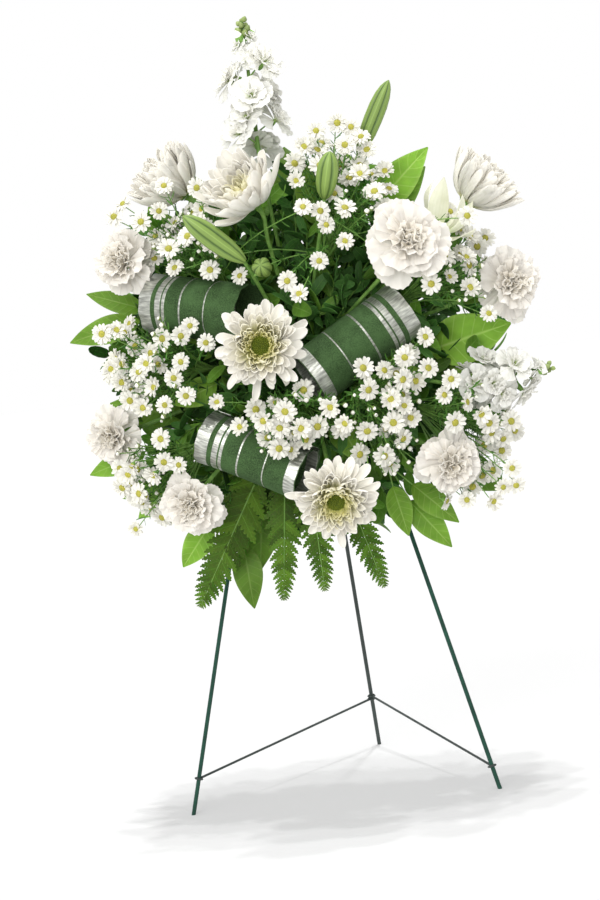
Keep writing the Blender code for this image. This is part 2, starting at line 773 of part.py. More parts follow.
def curved_stem(base, axis, bend=45 * MM):
    """A stem straight out of the foam that bends into a bloom's axis just under the bloom."""
    start = stem_start(base)
    direction = (base - FOCUS).normalized()
    knee = base - direction * bend
    first, second = knee + direction * bend * 0.4, base - axis * bend * 0.4
    points = [start]
    for step in range(4):
        t = step / 3
        a, b, c = knee.lerp(first, t), first.lerp(second, t), second.lerp(base, t)
        points.append(a.lerp(b, t).lerp(b.lerp(c, t), t))
    return points


def make_mum(name, centre, axis, radius, cup, seed):
    """A disbud mum: three layers of long petals on a core, and a button in the middle."""
    rng = random.Random(seed)
    centre, axis, radius = millimetres(centre), Vector(axis).normalized(), radius * MM
    outer_stations = [(0.50, -7, 0.085), (0.86, -10, 0.130)]
    middle_stations = [(0.66, 4, 0.120)]
    inner_stations = [(0.43, 12, 0.095)]

    def rise(share, height):
        return height * MM + cup * CUP_RISE * share**1.2

    layers = []
    for root, low, high, stations, tip in (
        (0.22, -11, -8, outer_stations, (1.0, -15)),
        (0.20, -5, -2, middle_stations, (0.80, 6)),
        (0.17, 1, 4, inner_stations, (0.50, 20)),
    ):
        sized = [(share * radius, rise(share, height), width * radius) for share, height, width in stations]
        layers.append((root * radius, low * MM, high * MM, sized, (tip[0] * radius, rise(*tip))))
    bottom = (6 * MM, -16 * MM)
    button = [(0.15 * radius, 8 * MM), (0.08 * radius, 11 * MM)]
    head = petal_layers(MUM_PETALS, layers, bottom, button, rng)
    join_solids(name + "_head", [placed(head, centre, axis, seed)], "petal")
    base = centre - axis * (16 * MM + GAP)
    neck = base - axis * 5 * MM
    make_bloom_stem(name, curved_stem(neck, axis) + [base], [2.4, 2.4, 2.4, 2.4, 2.8, 6.5])


def make_carnation(name, centre, axis, radius, seed):
    """A carnation: four frilled layers on a core, over a long green calyx."""
    rng = random.Random(seed)
    centre, axis, radius = millimetres(centre), Vector(axis).normalized(), radius * MM
    profile = [
        (0.17 * radius, -14 * MM, False),
        (0.98 * radius, -8 * MM, True),
        (0.30 * radius, -3 * MM, False),
        (0.86 * radius, 5 * MM, True),
        (0.26 * radius, 4 * MM, False),
        (0.64 * radius, 16 * MM, True),
        (0.20 * radius, 9 * MM, False),
        (0.36 * radius, 22 * MM, True),
        (0.08 * radius, 14 * MM, False),
    ]
    head = frilled_head(CARNATION_COLUMNS, profile, 2.6 * MM, rng)
    join_solids(name + "_head", [placed(head, centre, axis, seed)], "petal")
    base = centre - axis * (14 * MM + GAP)
    calyx = base - axis * 26 * MM
    points = curved_stem(calyx, axis, 30 * MM) + [calyx + axis * 5 * MM, base]
    make_bloom_stem(name, points, [2.4, 2.4, 2.4, 2.4, 3.0, 6.5, 7.0])


def make_bloom_stem(name, points, radii):
    radii = [radius * MM for radius in radii]
    join_solids(name + "_stem", [tube(points, radii, 5)], "stem")
    drill_for(points[0], points[1], radii[0])


def roll_frame(end_a, end_b):
    """The axis of a roll, and the directions square to it towards the foam and round from it."""
    axis = (end_b - end_a).normalized()
    inward = FOCUS - end_a.lerp(end_b, 0.5)
    inward = (inward - axis * inward.dot(axis)).normalized()
    return axis, inward, axis.cross(inward)


def make_ribbon(name, end_a, end_b, radius):
    """A strip of wide ribbon rolled a little over one turn, on a green pick."""
    end_a, end_b, radius = millimetres(end_a), millimetres(end_b), radius * MM
    axis, inward, around = roll_frame(end_a, end_b)
    points, faces = [], []
    for i in range(RIBBON_SEGMENTS + 1):
        share = i / RIBBON_SEGMENTS
        angle = 2 * math.pi * (RIBBON_TURNS * (share - 1) + 0.1)
        size = radius - RIBBON_PITCH * (1 - share)
        out = (inward * math.cos(angle) + around * math.sin(angle)) * size
        points += [end_a + out, end_b + out]
    for i in range(RIBBON_SEGMENTS):
        a = 2 * i
        faces.append((a, a + 1, a + 3, a + 2))
    join_solids(name, [thicken(points, faces, RIBBON_THICK)], "ribbon")
    middle = end_a.lerp(end_b, 0.5)
    direction = (middle - FOCUS).normalized()
    slant = direction.cross(axis).length
    flat = (radius - RIBBON_PITCH * 0.1 / RIBBON_TURNS) * math.cos(math.pi * RIBBON_TURNS / RIBBON_SEGMENTS)
    reach = flat + RIBBON_THICK / 2 + GAP + PICK_RADIUS * abs(direction.dot(axis))
    near = (middle - FOCUS).length - reach / slant
    start = stem_start(middle)
    end = FOCUS + direction * near
    join_solids(name + "_pick", [tube([start, end], PICK_RADIUS, 6)], "pick")
    drill_for(start, end, PICK_RADIUS)


def make_spike(name, base, tip, radius, florets, buds, seed):
    """A flower spike: star florets up the stem, then buds out to the tip."""
    rng = random.Random(seed)
    base, tip, radius = millimetres(base), millimetres(tip), radius * MM
    start = stem_start(base)
    axis = (tip - base).normalized()
    knee = base - (base - FOCUS).normalized() * 30 * MM
    solids = [tube([start, knee, base, tip], [2.2 * MM, 2.2 * MM, 2.0 * MM, 1.2 * MM], 6)]
    across = side_of(axis)
    other = axis.cross(across)
    length = (tip - base).length
    for i in range(florets):
        angle = i * GOLDEN_ANGLE
        out = across * math.cos(angle) + other * math.sin(angle)
        facing = (out + axis * 0.7).normalized()
        root = base + axis * length * SPIKE_FLORET_PART * i / florets
        spot = root + (out + axis * 0.5) * radius * 1.1
        solids.append(stalked_star(root, spot, facing, i, 5, radius, 0.4 * radius, 1.3 * MM, rng))
    for i in range(buds):
        angle = (florets + i) * GOLDEN_ANGLE
        out = (across * math.cos(angle) + other * math.sin(angle) + axis * 1.2).normalized()
        share = SPIKE_FLORET_PART + (1 - SPIKE_FLORET_PART) * (i + 0.3) / buds
        size = (1 - 0.5 * i / buds) * radius
        solids.append(pointed_bud(base + axis * length * share, out, size, 0.32 * size))
    join_solids(name, solids, "spray")
    drill_for(start, knee, 2.2 * MM)


def make_lily_buds(name, buds):
    """Closed lily buds on one stalk."""
    first_base = millimetres(buds[0][0])
    start = stem_start(first_base)
    direction = (first_base - FOCUS).normalized()
    knee = first_base - direction * 30 * MM
    solids = []
    for base, tip, radius in buds:
        base, tip = millimetres(base), millimetres(tip)
        axis = (tip - base).normalized()
        solids.append(spindle(base, tip, radius * MM))
        solids.append(tube([knee, base, base + axis * 5 * MM], [1.8 * MM, 2.2 * MM, 2.2 * MM], 5))
    solids.append(tube([start, knee + direction * 3 * MM], 2.3 * MM, 6))
    join_solids(name, solids, "bud")
    drill_for(start, knee, 2.3 * MM)


def make_open_lily():
    """A half-open lily: long petals from a short throat on its stem."""
    start = stem_start(LILY_BASE)
    direction = (LILY_BASE - FOCUS).normalized()
    knee = LILY_BASE - direction * 30 * MM
    throat = LILY_BASE + LILY_AXIS * 14 * MM
    radii = [2.3 * MM, 2.3 * MM, 4 * MM, 7 * MM]
    solids = [tube([start, knee, LILY_BASE, throat], radii, 6)]
    for tip in LILY_TIPS:
        tip = millimetres(tip)
        outward = tip - LILY_BASE
        outward = (outward - LILY_AXIS * outward.dot(LILY_AXIS)).normalized()
        root = LILY_BASE + LILY_AXIS * 2 * MM
        base = LILY_BASE + LILY_AXIS * 12 * MM + outward * 4 * MM
        face = (LILY_AXIS - outward).normalized()
        solids.append(leaf_blade(root, base, tip, 22 * MM, face, arch=-0.10, thickness=1.2 * MM))
    join_solids("lily_open", solids, "petal")
    drill_for(start, knee, 2.3 * MM)


def capped_distance(point, low, high, radius):
    """How far a point lies outside a capped cylinder; negative inside."""
    axis = high - low
    length = axis.length
    axis.normalize()
    height = (point - low).dot(axis)
    side = (point - low - axis * height).length - radius
    end = abs(height - length / 2) - length / 2
    if side > 0 and end > 0:
        return math.hypot(side, end)
    return max(side, end)


def foam_exit(direction):
    """How far from its middle a line leaves the foam block."""
    return min(
        abs(half / direction.dot(axis)) for half, axis in zip(FOAM_SIZE / 2, PLANE_AXES) if direction.dot(axis)
    )


def leaf_places(end, leaves):
    """For each leaf where its stalk leaves the stem, its base, its tip and its width."""
    direction = (end - FOCUS).normalized()
    nearest = foam_exit(direction) + 6 * MM
    furthest = (end - FOCUS).length
    for number, (base, tip, width) in enumerate(leaves):
        base = millimetres(base)
        reach = min(0.85 * (base - FOCUS).length, furthest - (2 + 5 * number) * MM)
        yield FOCUS + direction * max(reach, nearest), base, millimetres(tip), width * MM


def aster_obstacles():
    """Capped cylinders round what the asters have to stay clear of."""
    blocks = []
    for table, behind in ((MUMS, 16), (CARNATIONS, 14)):
        for centre, axis, radius, *cup, _ in table.values():
            centre, axis = millimetres(centre), Vector(axis).normalized()
            front = centre + axis * (20 * MM + sum(cup) * 0.6 * CUP_RISE)
            blocks.append((centre - axis * behind * MM, front, radius * MM))
            blocks.append((stem_start(centre), centre - axis * behind * MM, 3 * MM))
    for end_a, end_b, radius in RIBBONS.values():
        end_a, end_b = millimetres(end_a), millimetres(end_b)
        blocks.append((end_a, end_b, radius * MM))
        blocks.append((stem_start(end_a.lerp(end_b, 0.5)), end_a.lerp(end_b, 0.5), 2 * MM))
    for base, tip, radius, _, _, _ in SPIKES.values():
        base, tip = millimetres(base), millimetres(tip)
        blocks.append((base, base.lerp(tip, SPIKE_FLORET_PART), 1.9 * radius * MM))
        blocks.append((stem_start(base), base, 3 * MM))
    for buds in LILY_BUDS.values():
        for base, tip, radius in buds:
            blocks.append((millimetres(base), millimetres(tip), radius * MM))
        blocks.append((stem_start(millimetres(buds[0][0])), millimetres(buds[0][0]), 4 * MM))
    for tip in LILY_TIPS:
        blocks.append((LILY_BASE, millimetres(tip), 9 * MM))
    blocks.append((stem_start(LILY_BASE), LILY_BASE, 4 * MM))
    for end, leaves in LEAFY_STEMS.values():
        end = millimetres(end)
        blocks.append((stem_start(end), end, 3 * MM))
        for root, base, tip, width in leaf_places(end, leaves):
            blocks.append((root, base, 2 * MM))
            blocks.append((base, tip, 0.48 * width))
    for base, tip, half_width, _, _ in FERNS.values():
        blocks.append((millimetres(base), millimetres(tip), 0.5 * half_width * MM))
        blocks.append((stem_start(millimetres(base)), millimetres(base), 3 * MM))
    return blocks


def aster_places():
    """For each spray the fork point and the (centre, facing) of every head.

    Heads follow a golden-angle spiral over the spray's patch, with a small seeded shift, and
    those too near another piece are passed over.
    """
    blocks = aster_obstacles()
    taken = []
    places = {}
    for name, (centre, across, up, count, seed) in ASTERS.items():
        rng = random.Random(seed)
        centre = millimetres(centre)
        outward = (centre - FOCUS).normalized()
        right = UP.cross(outward).normalized()
        above = outward.cross(right)
        fork = FOCUS + (centre - FOCUS) * 0.52
        heads = []
        for i in range(12 * count):
            reach = math.sqrt((i % (2 * count) + 0.5) / (1.6 * count))
            angle = i * math.pi * (3 - math.sqrt(5)) + rng.uniform(-0.3, 0.3)
            spot = centre + right * (across * MM * reach * math.cos(angle))
            spot += above * (up * MM * reach * math.sin(angle))
            spot += outward * (rng.uniform(-14, 14) - 10 * reach * reach) * MM
            tilt = Vector((rng.uniform(-1, 1), rng.uniform(-1, 1), rng.uniform(-1, 1)))
            facing = (outward * 0.7 + VIEWER * 0.6 + tilt * 0.35).normalized()
            if len(heads) == count:
                continue
            if any((spot - other).length < 25 * MM for other in taken):
                continue
            if any(capped_distance(spot, *block) < 14 * MM for block in blocks):
                continue
            root = fork + outward * (i % count) / count * 34 * MM
            foot = spot - facing * 9 * MM
            line = [root.lerp(foot, (step + 1) / 12) for step in range(12)]
            if any(capped_distance(p, *block) < 2.2 * MM for p in line for block in blocks):
                continue
            taken.append(spot)
            heads.append((root, spot, facing))
        places[name] = (fork, outward, heads)
    return places


def make_aster_spray(name, fork, outward, heads):
    """A branching spray of small asters."""
    rng = random.Random(len(name))
    start = stem_start(fork)
    solids = [tube([start, fork + outward * 36 * MM], [1.9 * MM, 1.9 * MM], 4)]
    for number, (root, spot, facing) in enumerate(heads):
        star = stalked_star(
            root, spot, facing, number, ASTER_PETALS, ASTER_RADIUS, ASTER_VALLEY, 0.9 * MM, rng
        )
        solids.append(star)
    join_solids(name, solids, "spray")
    drill_for(start, fork, 1.9 * MM)


def make_leafy_stem(name, end, leaves):
    """Broad leaves on stalks from one stem."""
    end = millimetres(end)
    start = stem_start(end)
    solids = [tube([start, end], [2.2 * MM, 1.8 * MM], 6)]
    for root, base, tip, width in leaf_places(end, leaves):
        solids.append(leaf_blade(root, base, tip, width, VIEWER))
    join_solids(name, solids, "leaf")
    drill_for(start, end, 2.2 * MM)


def make_fern(name, base, tip, half_width, pairs, droop):
    """A leathery fern frond, arched towards the viewer."""
    base, tip = millimetres(base), millimetres(tip)
    start = stem_start(base)

    def curve(t):
        sag = VIEWER * droop * MM * 4 * max(t, 0) * (1 - t)
        return base.lerp(tip, t) + sag

    join_solids(name, [fern_blade(start, curve, half_width * MM, pairs, VIEWER)], "fern")
    drill_for(start, base, 1.5 * STALK_HALF)


def centre_over_origin():
    """Move every mesh so that the box round the whole object stands on the origin."""
    corners = [thing.matrix_world @ vert.co for thing in bpy.data.objects for vert in thing.data.vertices]
    low = Vector(min(corner[i] for corner in corners) for i in range(3))
    high = Vector(max(corner[i] for corner in corners) for i in range(3))
    shift = Vector((-(low.x + high.x) / 2, -(low.y + high.y) / 2, -low.z))
    for thing in bpy.data.objects:
        thing.data.transform(Matrix.Translation(shift))


def main():
    clear_scene()
    make_legs()
    make_apex_clip()
    make_braces()
    make_cross_bar()
    make_tray()
    for name, numbers in MUMS.items():
        make_mum(name, *numbers)
    for name, numbers in CARNATIONS.items():
        make_carnation(name, *numbers)
    for name, numbers in RIBBONS.items():
        make_ribbon(name, *numbers)
    for name, numbers in SPIKES.items():
        make_spike(name, *numbers)
    for name, buds in LILY_BUDS.items():
        make_lily_buds(name, buds)
    make_open_lily()
    for name, numbers in LEAFY_STEMS.items():
        make_leafy_stem(name, *numbers)
    for name, numbers in FERNS.items():
        make_fern(name, *numbers)
    for name, place in aster_places().items():
        make_aster_spray(name, *place)
    make_foam()
    centre_over_origin()


main()
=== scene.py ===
"""Standing funeral spray: white mums, carnations, lilies, asters and ribbon rolls on a wire easel.

Laid out as a Blender add-on and run as a script. Every piece is shaped in the stand's own
measure, in metres with the two front feet on y = 0, and is moved into the frame's place at the end.
"""

import math
import random

import bpy
from mathutils import Matrix, Vector


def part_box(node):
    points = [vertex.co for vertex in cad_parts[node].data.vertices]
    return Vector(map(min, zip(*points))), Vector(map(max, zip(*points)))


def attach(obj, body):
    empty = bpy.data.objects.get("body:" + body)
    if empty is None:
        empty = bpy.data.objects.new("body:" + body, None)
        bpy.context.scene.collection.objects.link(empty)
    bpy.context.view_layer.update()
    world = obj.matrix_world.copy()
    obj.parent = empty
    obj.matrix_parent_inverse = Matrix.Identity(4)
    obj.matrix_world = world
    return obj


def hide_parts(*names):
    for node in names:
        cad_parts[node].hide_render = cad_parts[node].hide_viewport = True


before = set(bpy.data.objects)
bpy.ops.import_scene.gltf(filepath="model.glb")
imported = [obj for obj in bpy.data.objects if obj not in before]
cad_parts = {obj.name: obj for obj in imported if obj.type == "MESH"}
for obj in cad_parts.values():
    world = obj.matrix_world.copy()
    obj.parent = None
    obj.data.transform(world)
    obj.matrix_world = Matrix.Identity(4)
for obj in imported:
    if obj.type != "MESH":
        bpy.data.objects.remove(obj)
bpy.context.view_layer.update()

bl_info = {
    "name": "Standing funeral spray",
    "version": (1, 0, 0),
    "blender": (4, 5, 0),
    "location": "View3D > Sidebar > Spray",
    "description": "White flowers, ribbon rolls and greenery on a wire easel",
    "category": "Object",
}

MM = 0.001
GAP = 0.3 * MM
GOLDEN_ANGLE = math.pi * (3 - math.sqrt(5))
FULL_TURN = 6.283
UP = Vector((0, 0, 1))

# From the spray towards someone in front of it
VIEWER = Vector((0.17, -0.98, 0.05)).normalized()

# Camera: lens and film width in millimetres, the picture's size, the point it looks at, how far
# off it stands, and its azimuth, elevation and roll in degrees
CAMERA_LENS = 78.70
FILM_WIDTH = 36
PICTURE_WIDTH, PICTURE_HEIGHT = 600, 900
CAMERA_TARGET = Vector((-0.0087, 0.05, 0.4253))
CAMERA_DISTANCE = 2.4
CAMERA_TURNS = (10.2468, 2.8123, -7.2813)

# Wire easel: where its front legs meet, and how thick they are
APEX = Vector((0, 150, 765)) * MM
LEG_RADIUS = 2.6 * MM

# Wet foam block, square to the leaning plane of the front legs
FOAM_SIZE = Vector((160, 80, 112)) * MM
FOAM_X = 8 * MM
FOAM_LEG_HEIGHT = 521 * MM
FOAM_BACK = LEG_RADIUS + GAP + 2.5 * MM + GAP
STEM_DEPTH = 40 * MM
LEAN = Vector((0, APEX.y, APEX.z)).normalized()
OUTWARD = Vector((0, -LEAN.z, LEAN.y))
PLANE_AXES = (Vector((1, 0, 0)), OUTWARD, LEAN)
FOAM_FOOT = Vector((FOAM_X, APEX.y * FOAM_LEG_HEIGHT / APEX.z, FOAM_LEG_HEIGHT))
FOCUS = FOAM_FOOT + OUTWARD * (FOAM_BACK + FOAM_SIZE.y / 2)

# Where the stand's own measure lies in the frame, from the cap at its top
clip_low, clip_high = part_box("apex_clip")
SHIFT = Vector(((clip_low[0] + clip_high[0]) / 2 - APEX.x, (clip_low[1] + clip_high[1]) / 2 - APEX.y, 0))

# Mums: centre, facing direction, radius, how far the petals rise as a cup, seed
MUMS = {
    "mum_middle": ((2, -172, 556), (0.15, -0.98, 0.04), 60, 0.1, 1),
    "mum_low": ((62, -160, 375), (0.14, -0.93, -0.34), 58, 0.1, 2),
    "mum_top": ((-2, -110, 725), (-0.35, -0.72, 0.60), 52, 0.7, 3),
    "mum_right": ((243, -8, 700), (0.72, 0.18, 0.66), 50, 1.0, 4),
    "mum_left": ((-102, -26, 755), (-0.62, -0.20, 0.75), 51, 1.0, 5),
}
CUP_RISE = 42 * MM
OPEN_MUM_RADIUS, CUPPED_MUM_RADIUS = 60, 50
# Each round of petals, from the outside: how many, root radius and height, length and width for
# a mum of 60 mm radius, then the slopes along a petal in degrees
OPEN_ROUNDS = (
    (9, 7.0, -12.0, 54, 12.5, (6, 4, -14)),
    (12, 7.0, -11.0, 49, 13.5, (8, 10, -4)),
    (16, 8.0, -9.0, 43, 14.0, (8, 16, 20)),
    (18, 9.0, -7.0, 39, 13.5, (14, 32, 50)),
    (20, 10.0, -5.5, 35, 12.5, (20, 40, 66)),
    (20, 11.0, -4.0, 31, 11.5, (26, 48, 78)),
    (20, 11.5, -2.5, 27, 10.0, (32, 56, 88)),
    (22, 11.0, -1.0, 22, 8.0, (38, 62, 94)),
    (26, 10.0, 0.0, 17, 5.6, (42, 66, 98)),
    (28, 8.8, 0.8, 12, 3.6, (48, 68, 100)),
)
# The same for a cupped mum of 50 mm radius, whose petals all rise round the middle
CUPPED_ROUNDS = (
    (14, 7.0, -12.0, 66, 13.0, (14, 54, 82)),
    (15, 7.5, -11.0, 63, 13.0, (22, 58, 84)),
    (16, 8.0, -9.0, 59, 12.5, (31, 63, 87)),
    (16, 8.0, -8.0, 56, 12.0, (38, 68, 90)),
    (16, 8.0, -7.0, 53, 11.5, (46, 74, 92)),
    (14, 7.0, -6.0, 50, 11.0, (54, 79, 95)),
    (12, 5.5, -5.0, 47, 10.0, (64, 84, 99)),
    (9, 3.5, -4.0, 44, 9.0, (74, 90, 103)),
    (5, 1.2, -3.0, 42, 9.0, (82, 96, 108)),
)
# How much shorter the middle petals of a half-cupped mum are
OPEN_HEART = 1.9

# Carnations: centre, facing direction, radius, seed
CARNATIONS = {
    "carnation_upper_left": ((-176, -48, 677), (-0.66, -0.68, 0.22), 46, 11),
    "carnation_left": ((-224, -22, 471), (-0.68, -0.70, -0.15), 41, 12),
    "carnation_low": ((-120, -92, 382), (-0.34, -0.78, -0.50), 41, 13),
    "carnation_upper_right": ((175, -130, 652), (0.35, -0.86, 0.35), 50, 14),
    "carnation_right": ((278, -18, 592), (0.86, -0.46, 0.12), 44, 15),
    "carnation_lower_right": ((188, -74, 393), (0.50, -0.76, -0.38), 42, 16),
}
CARNATION_RADIUS = 45
# Each round of fans for a carnation of that radius: how many, height, reach, half spread in
# degrees, slopes, ruffle
CARNATION_ROUNDS = (
    (5, -11, 48, 37, (12, 2, -16), 1.7),
    (5, -9, 46, 38, (24, 12, -4), 1.9),
    (5, -7, 41, 40, (40, 30, 14), 2.2),
    (5, -6, 35, 42, (54, 50, 40), 2.6),
    (5, -5, 30, 42, (66, 70, 66), 2.8),
    (4, -4, 26, 44, (77, 87, 94), 2.8),
    (3, -3, 22, 46, (84, 98, 112), 2.6),
)

# Ribbon rolls: the two ends of the axis, the radius, and whether the silver band is at the second end
RIBBONS = {
    "ribbon_roll_left": ((-142, -40, 622), (-22, -86, 594), 37, False),
    "ribbon_roll_right": ((36, -90, 512), (150, -46, 578), 36, True),
    "ribbon_roll_low": ((-94, -70, 460), (22, -96, 404), 33, False),
}
RIBBON_TURNS = 1.2
RIBBON_PITCH = 4 * MM
# The wide foil band and the lines beside it: middle and half width as shares of the ribbon's width
WIDE_FOIL = (0.055, 0.065)
FOIL_LINES = ((0.197, 0.026), (0.255, 0.013), (0.427, 0.006), (0.68, 0.003))
FAR_FOIL = (0.94, 0.05)

# Flower spikes: where the florets start, the tip, floret radius, how many florets and buds, seed
SPIKES = {
    "stock_spike_top": ((4, -40, 776), (0, -22, 936), 21, 8, 7, 21),
    "stock_spike_right": ((204, -36, 482), (306, -2, 490), 19, 7, 5, 22),
}
SPIKE_FLORET_PART = 0.66
TIP_FLORETS = 4

# Lilies: base, tip and radius of each bud, and the open lily's petal tips
LILY_BUDS = {
    "lily_bud_right": [((120, -44, 760), (167, -58, 838), 12)],
    "lily_bud_left": [((-10, -136, 652), (-68, -164, 710), 14), ((10, -122, 640), (10, -154, 645), 12)],
    "lily_bud_top": [((82, -96, 712), (98, -114, 762), 14)],
}
LILY_BASE = Vector((196, -46, 652)) * MM
LILY_AXIS = Vector((0.40, -0.42, 0.81)).normalized()
LILY_TIPS = [(206, -84, 716), (236, -76, 696), (246, -84, 656), (214, -34, 722), (244, -40, 690)]

# Aster sprays: centre, spread across and up, number of heads, seed
ASTERS = {
    "aster_spray_upper_left": ((-104, -80, 696), 58, 56, 12, 31),
    "aster_spray_top": ((104, -68, 742), 46, 74, 12, 32),
    "aster_spray_upper_right": ((236, -48, 632), 48, 64, 9, 33),
    "aster_spray_left": ((-164, -84, 544), 70, 58, 13, 34),
    "aster_spray_lower_left": ((-182, -58, 396), 50, 52, 11, 35),
    "aster_spray_middle": ((24, -150, 464), 52, 36, 12, 36),
    "aster_spray_right": ((132, -128, 478), 40, 80, 14, 37),
    "aster_spray_lower_right": ((230, -52, 422), 52, 78, 11, 38),
}

# More heads between them: a depth y, then the picture's column and row of each
SEEN_ASTERS = (
    (-100, ((164, 186), (123, 204), (114, 217), (197, 188), (159, 211), (141, 222))),
    (-115, ((175, 268), (210, 270), (240, 276))),
    (-150, ((287, 281), (299, 294))),
    (-115, ((102, 334), (117, 330), (181, 336), (190, 326), (181, 362), (174, 378), (111, 369))),
    (-130, ((206, 343), (186, 396), (217, 402), (165, 405))),
    (-95, ((143, 408), (161, 439), (179, 465), (195, 466), (164, 462), (136, 529), (152, 526), (168, 536))),
    (-120, ((425, 337), (428, 368), (444, 395), (451, 379))),
    (-60, ((478, 390), (512, 468), (516, 485), (503, 487), (493, 501), (467, 500))),
    (-75, ((337, 123), (351, 127), (361, 137), (345, 145), (330, 133), (304, 147), (316, 131), (367, 150))),
    (-90, ((311, 171), (296, 181), (334, 194), (451, 190), (466, 199), (467, 216))),
    (-130, ((303, 207), (320, 211), (326, 225), (345, 241), (319, 261), (431, 284))),
)

# Leafy stems: where the stem ends, then base, tip, width and brightness of each broad leaf;
# the brightness is partly the leaf's own tone and partly painted shade that darkens the leaves at the back
# and below
LEAFY_STEMS = {
    "leafy_stem_top": (
        (98, 16, 672),
        [
            ((120, 22, 700), (194, 24, 764), 44, 1.0),
            ((128, 34, 686), (186, 44, 744), 34, 0.5),
            ((56, 2, 690), (44, -4, 770), 34, 0.3),
            ((34, 72, 682), (11, 94, 796), 60, 0.15),
            ((72, 66, 672), (90, 84, 778), 58, 0.2),
            ((150, 48, 634), (234, 60, 684), 54, 0.2),
        ],
    ),
    "leafy_stem_left": (
        (-142, 12, 590),
        [
            ((-176, 6, 606), (-264, 0, 590), 34, 0.4),
            ((-168, 12, 618), (-238, 8, 646), 26, 0.3),
            ((-150, 10, 532), (-214, 8, 516), 34, 0.85),
            ((-84, -14, 556), (-148, -18, 572), 28, 0.7),
            ((-82, -18, 520), (-140, -26, 500), 34, 0.9),
            ((-72, 66, 672), (-102, 84, 774), 56, 0.15),
            ((-112, 48, 654), (-160, 60, 744), 50, 0.2),
        ],
    ),
    "leafy_stem_right": (
        (152, 22, 536),
        [
            ((166, 24, 526), (266, 22, 546), 60, 1.0),
            ((186, 36, 594), (260, 36, 586), 34, 0.2),
            ((170, 30, 506), (246, 32, 486), 34, 0.4),
            ((96, -12, 522), (160, -22, 508), 44, 0.5),
            ((158, 46, 470), (245, 44, 430), 50, 0.2),
        ],
    ),
    "leafy_stem_low_right": (
        (108, 4, 392),
        [
            ((130, -6, 372), (180, -14, 322), 32, 0.42),
            ((122, 8, 352), (166, 6, 292), 34, 0.5),
            ((106, -2, 372), (118, -6, 312), 30, 0.5),
            ((52, -20, 464), (78, -40, 406), 40, 0.4),
            ((152, 40, 404), (240, 36, 350), 48, 0.2),
        ],
    ),
    "leafy_stem_low_left": (
        (-104, 10, 396),
        [
            ((-84, 6, 320), (-80, 2, 244), 36, 0.08),
            ((-122, 12, 352), (-164, 14, 302), 34, 0.9),
            ((-196, 28, 446), (-270, 30, 426), 30, 0.6),
            ((-160, 12, 400), (-212, 16, 368), 30, 0.8),
            ((-64, 14, 454), (-102, 16, 402), 36, 0.7),
            ((-140, 42, 434), (-236, 42, 392), 50, 0.45),
            ((-140, 42, 482), (-236, 42, 510), 46, 0.45),
            ((-60, 44, 388), (-74, 40, 286), 52, 0.15),
        ],
    ),
}

# Fern fronds: where the leaflets start, the tip, half width, pairs of leaflets, droop
FERNS = {
    "fern_low_left": ((-52, -8, 404), (-140, -24, 256), 52, 13, 8),
    "fern_low_middle": ((-18, -20, 400), (-34, -42, 256), 40, 13, 10),
    "fern_low_front": ((14, -36, 392), (22, -74, 266), 38, 12, 8),
    "fern_low_right": ((46, -16, 398), (86, -34, 258), 40, 13, 10),
}
# How wide a leaflet is along one lobe, as shares of its outline
LOBE_WIDTHS = (0.52, 0.92, 1.0, 0.84)
LEAFLET_LOBES = 6

# Inner greenery: how many sprigs are tried, and how far the longest reach to the side, to the
# front and back, up and down
SPRIG_DIRECTIONS = 300
SPRIG_WIDE, SPRIG_DEEP = 242 * MM, 115 * MM
SPRIG_HIGH, SPRIG_LOW = 250 * MM, 206 * MM
# A sprig that points further forward than this is one of the front ones
FRONT_SHARE = 0.35
# How far in front of the foam's back face the tray's rim comes, with some room
TRAY_COVER = 16 * MM


def colour_setting(name, default, description):
    return bpy.props.FloatVectorProperty(
        name=name, description=description, default=default, subtype="COLOR", size=3, min=0, max=1
    )


class SpraySizes(bpy.types.PropertyGroup):
    """Sizes that set how fine the flowers are."""

    petal_thickness: bpy.props.FloatProperty(
        name="Petal thickness", description="Thickness of a mum petal", default=0.5 * MM, unit="LENGTH"
    )
    leaf_thickness: bpy.props.FloatProperty(
        name="Leaf thickness", description="Thickness of a broad leaf", default=0.6 * MM, unit="LENGTH"
    )
    aster_radius: bpy.props.FloatProperty(
        name="Aster radius",
        description="From an aster's middle to its petal tips",
        default=14 * MM,
        unit="LENGTH",
    )
    ribbon_thickness: bpy.props.FloatProperty(
        name="Ribbon thickness", description="Thickness of the ribbon", default=0.5 * MM, unit="LENGTH"
    )


class SprayColours(bpy.types.PropertyGroup):
    """Colours of the spray's finishes."""

    petal_white: colour_setting("Petal white", (0.87, 0.84, 0.76), "Mum petals")
    petal_heart: colour_setting("Petal heart", (0.60, 0.60, 0.12), "Foot of the mums' inner petals")
    disc_green: colour_setting("Disc green", (0.052, 0.088, 0.004), "Button in the middle of a mum")
    aster_disc: colour_setting("Aster disc", (0.42, 0.36, 0.05), "Button in the middle of an aster")
    leaf_green: colour_setting("Leaf green", (0.145, 0.28, 0.030), "Broad leaves")
    fern_green: colour_setting("Fern green", (0.050, 0.096, 0.008), "Fern fronds")
    stem_green: colour_setting("Stem green", (0.10, 0.22, 0.04), "Stems and stalks")
    ribbon_green: colour_setting("Ribbon green", (0.034, 0.068, 0.023), "Velvet of the ribbon")
    ribbon_silver: colour_setting("Ribbon silver", (0.50, 0.51, 0.46), "Metal band and lines of the ribbon")
    wire_green: colour_setting("Wire green", (0.006, 0.038, 0.024), "Paint of the easel")


# Modelling


def deselect():
    bpy.ops.object.select_all(action="DESELECT")


def make_active(thing):
    deselect()
    thing.select_set(True)
    bpy.context.view_layer.objects.active = thing


def apply_modifier(thing, kind, **settings):
    make_active(thing)
    modifier = thing.modifiers.new(kind.title(), kind)
    for key, value in settings.items():
        setattr(modifier, key, value)
    bpy.ops.object.modifier_apply(modifier=modifier.name)


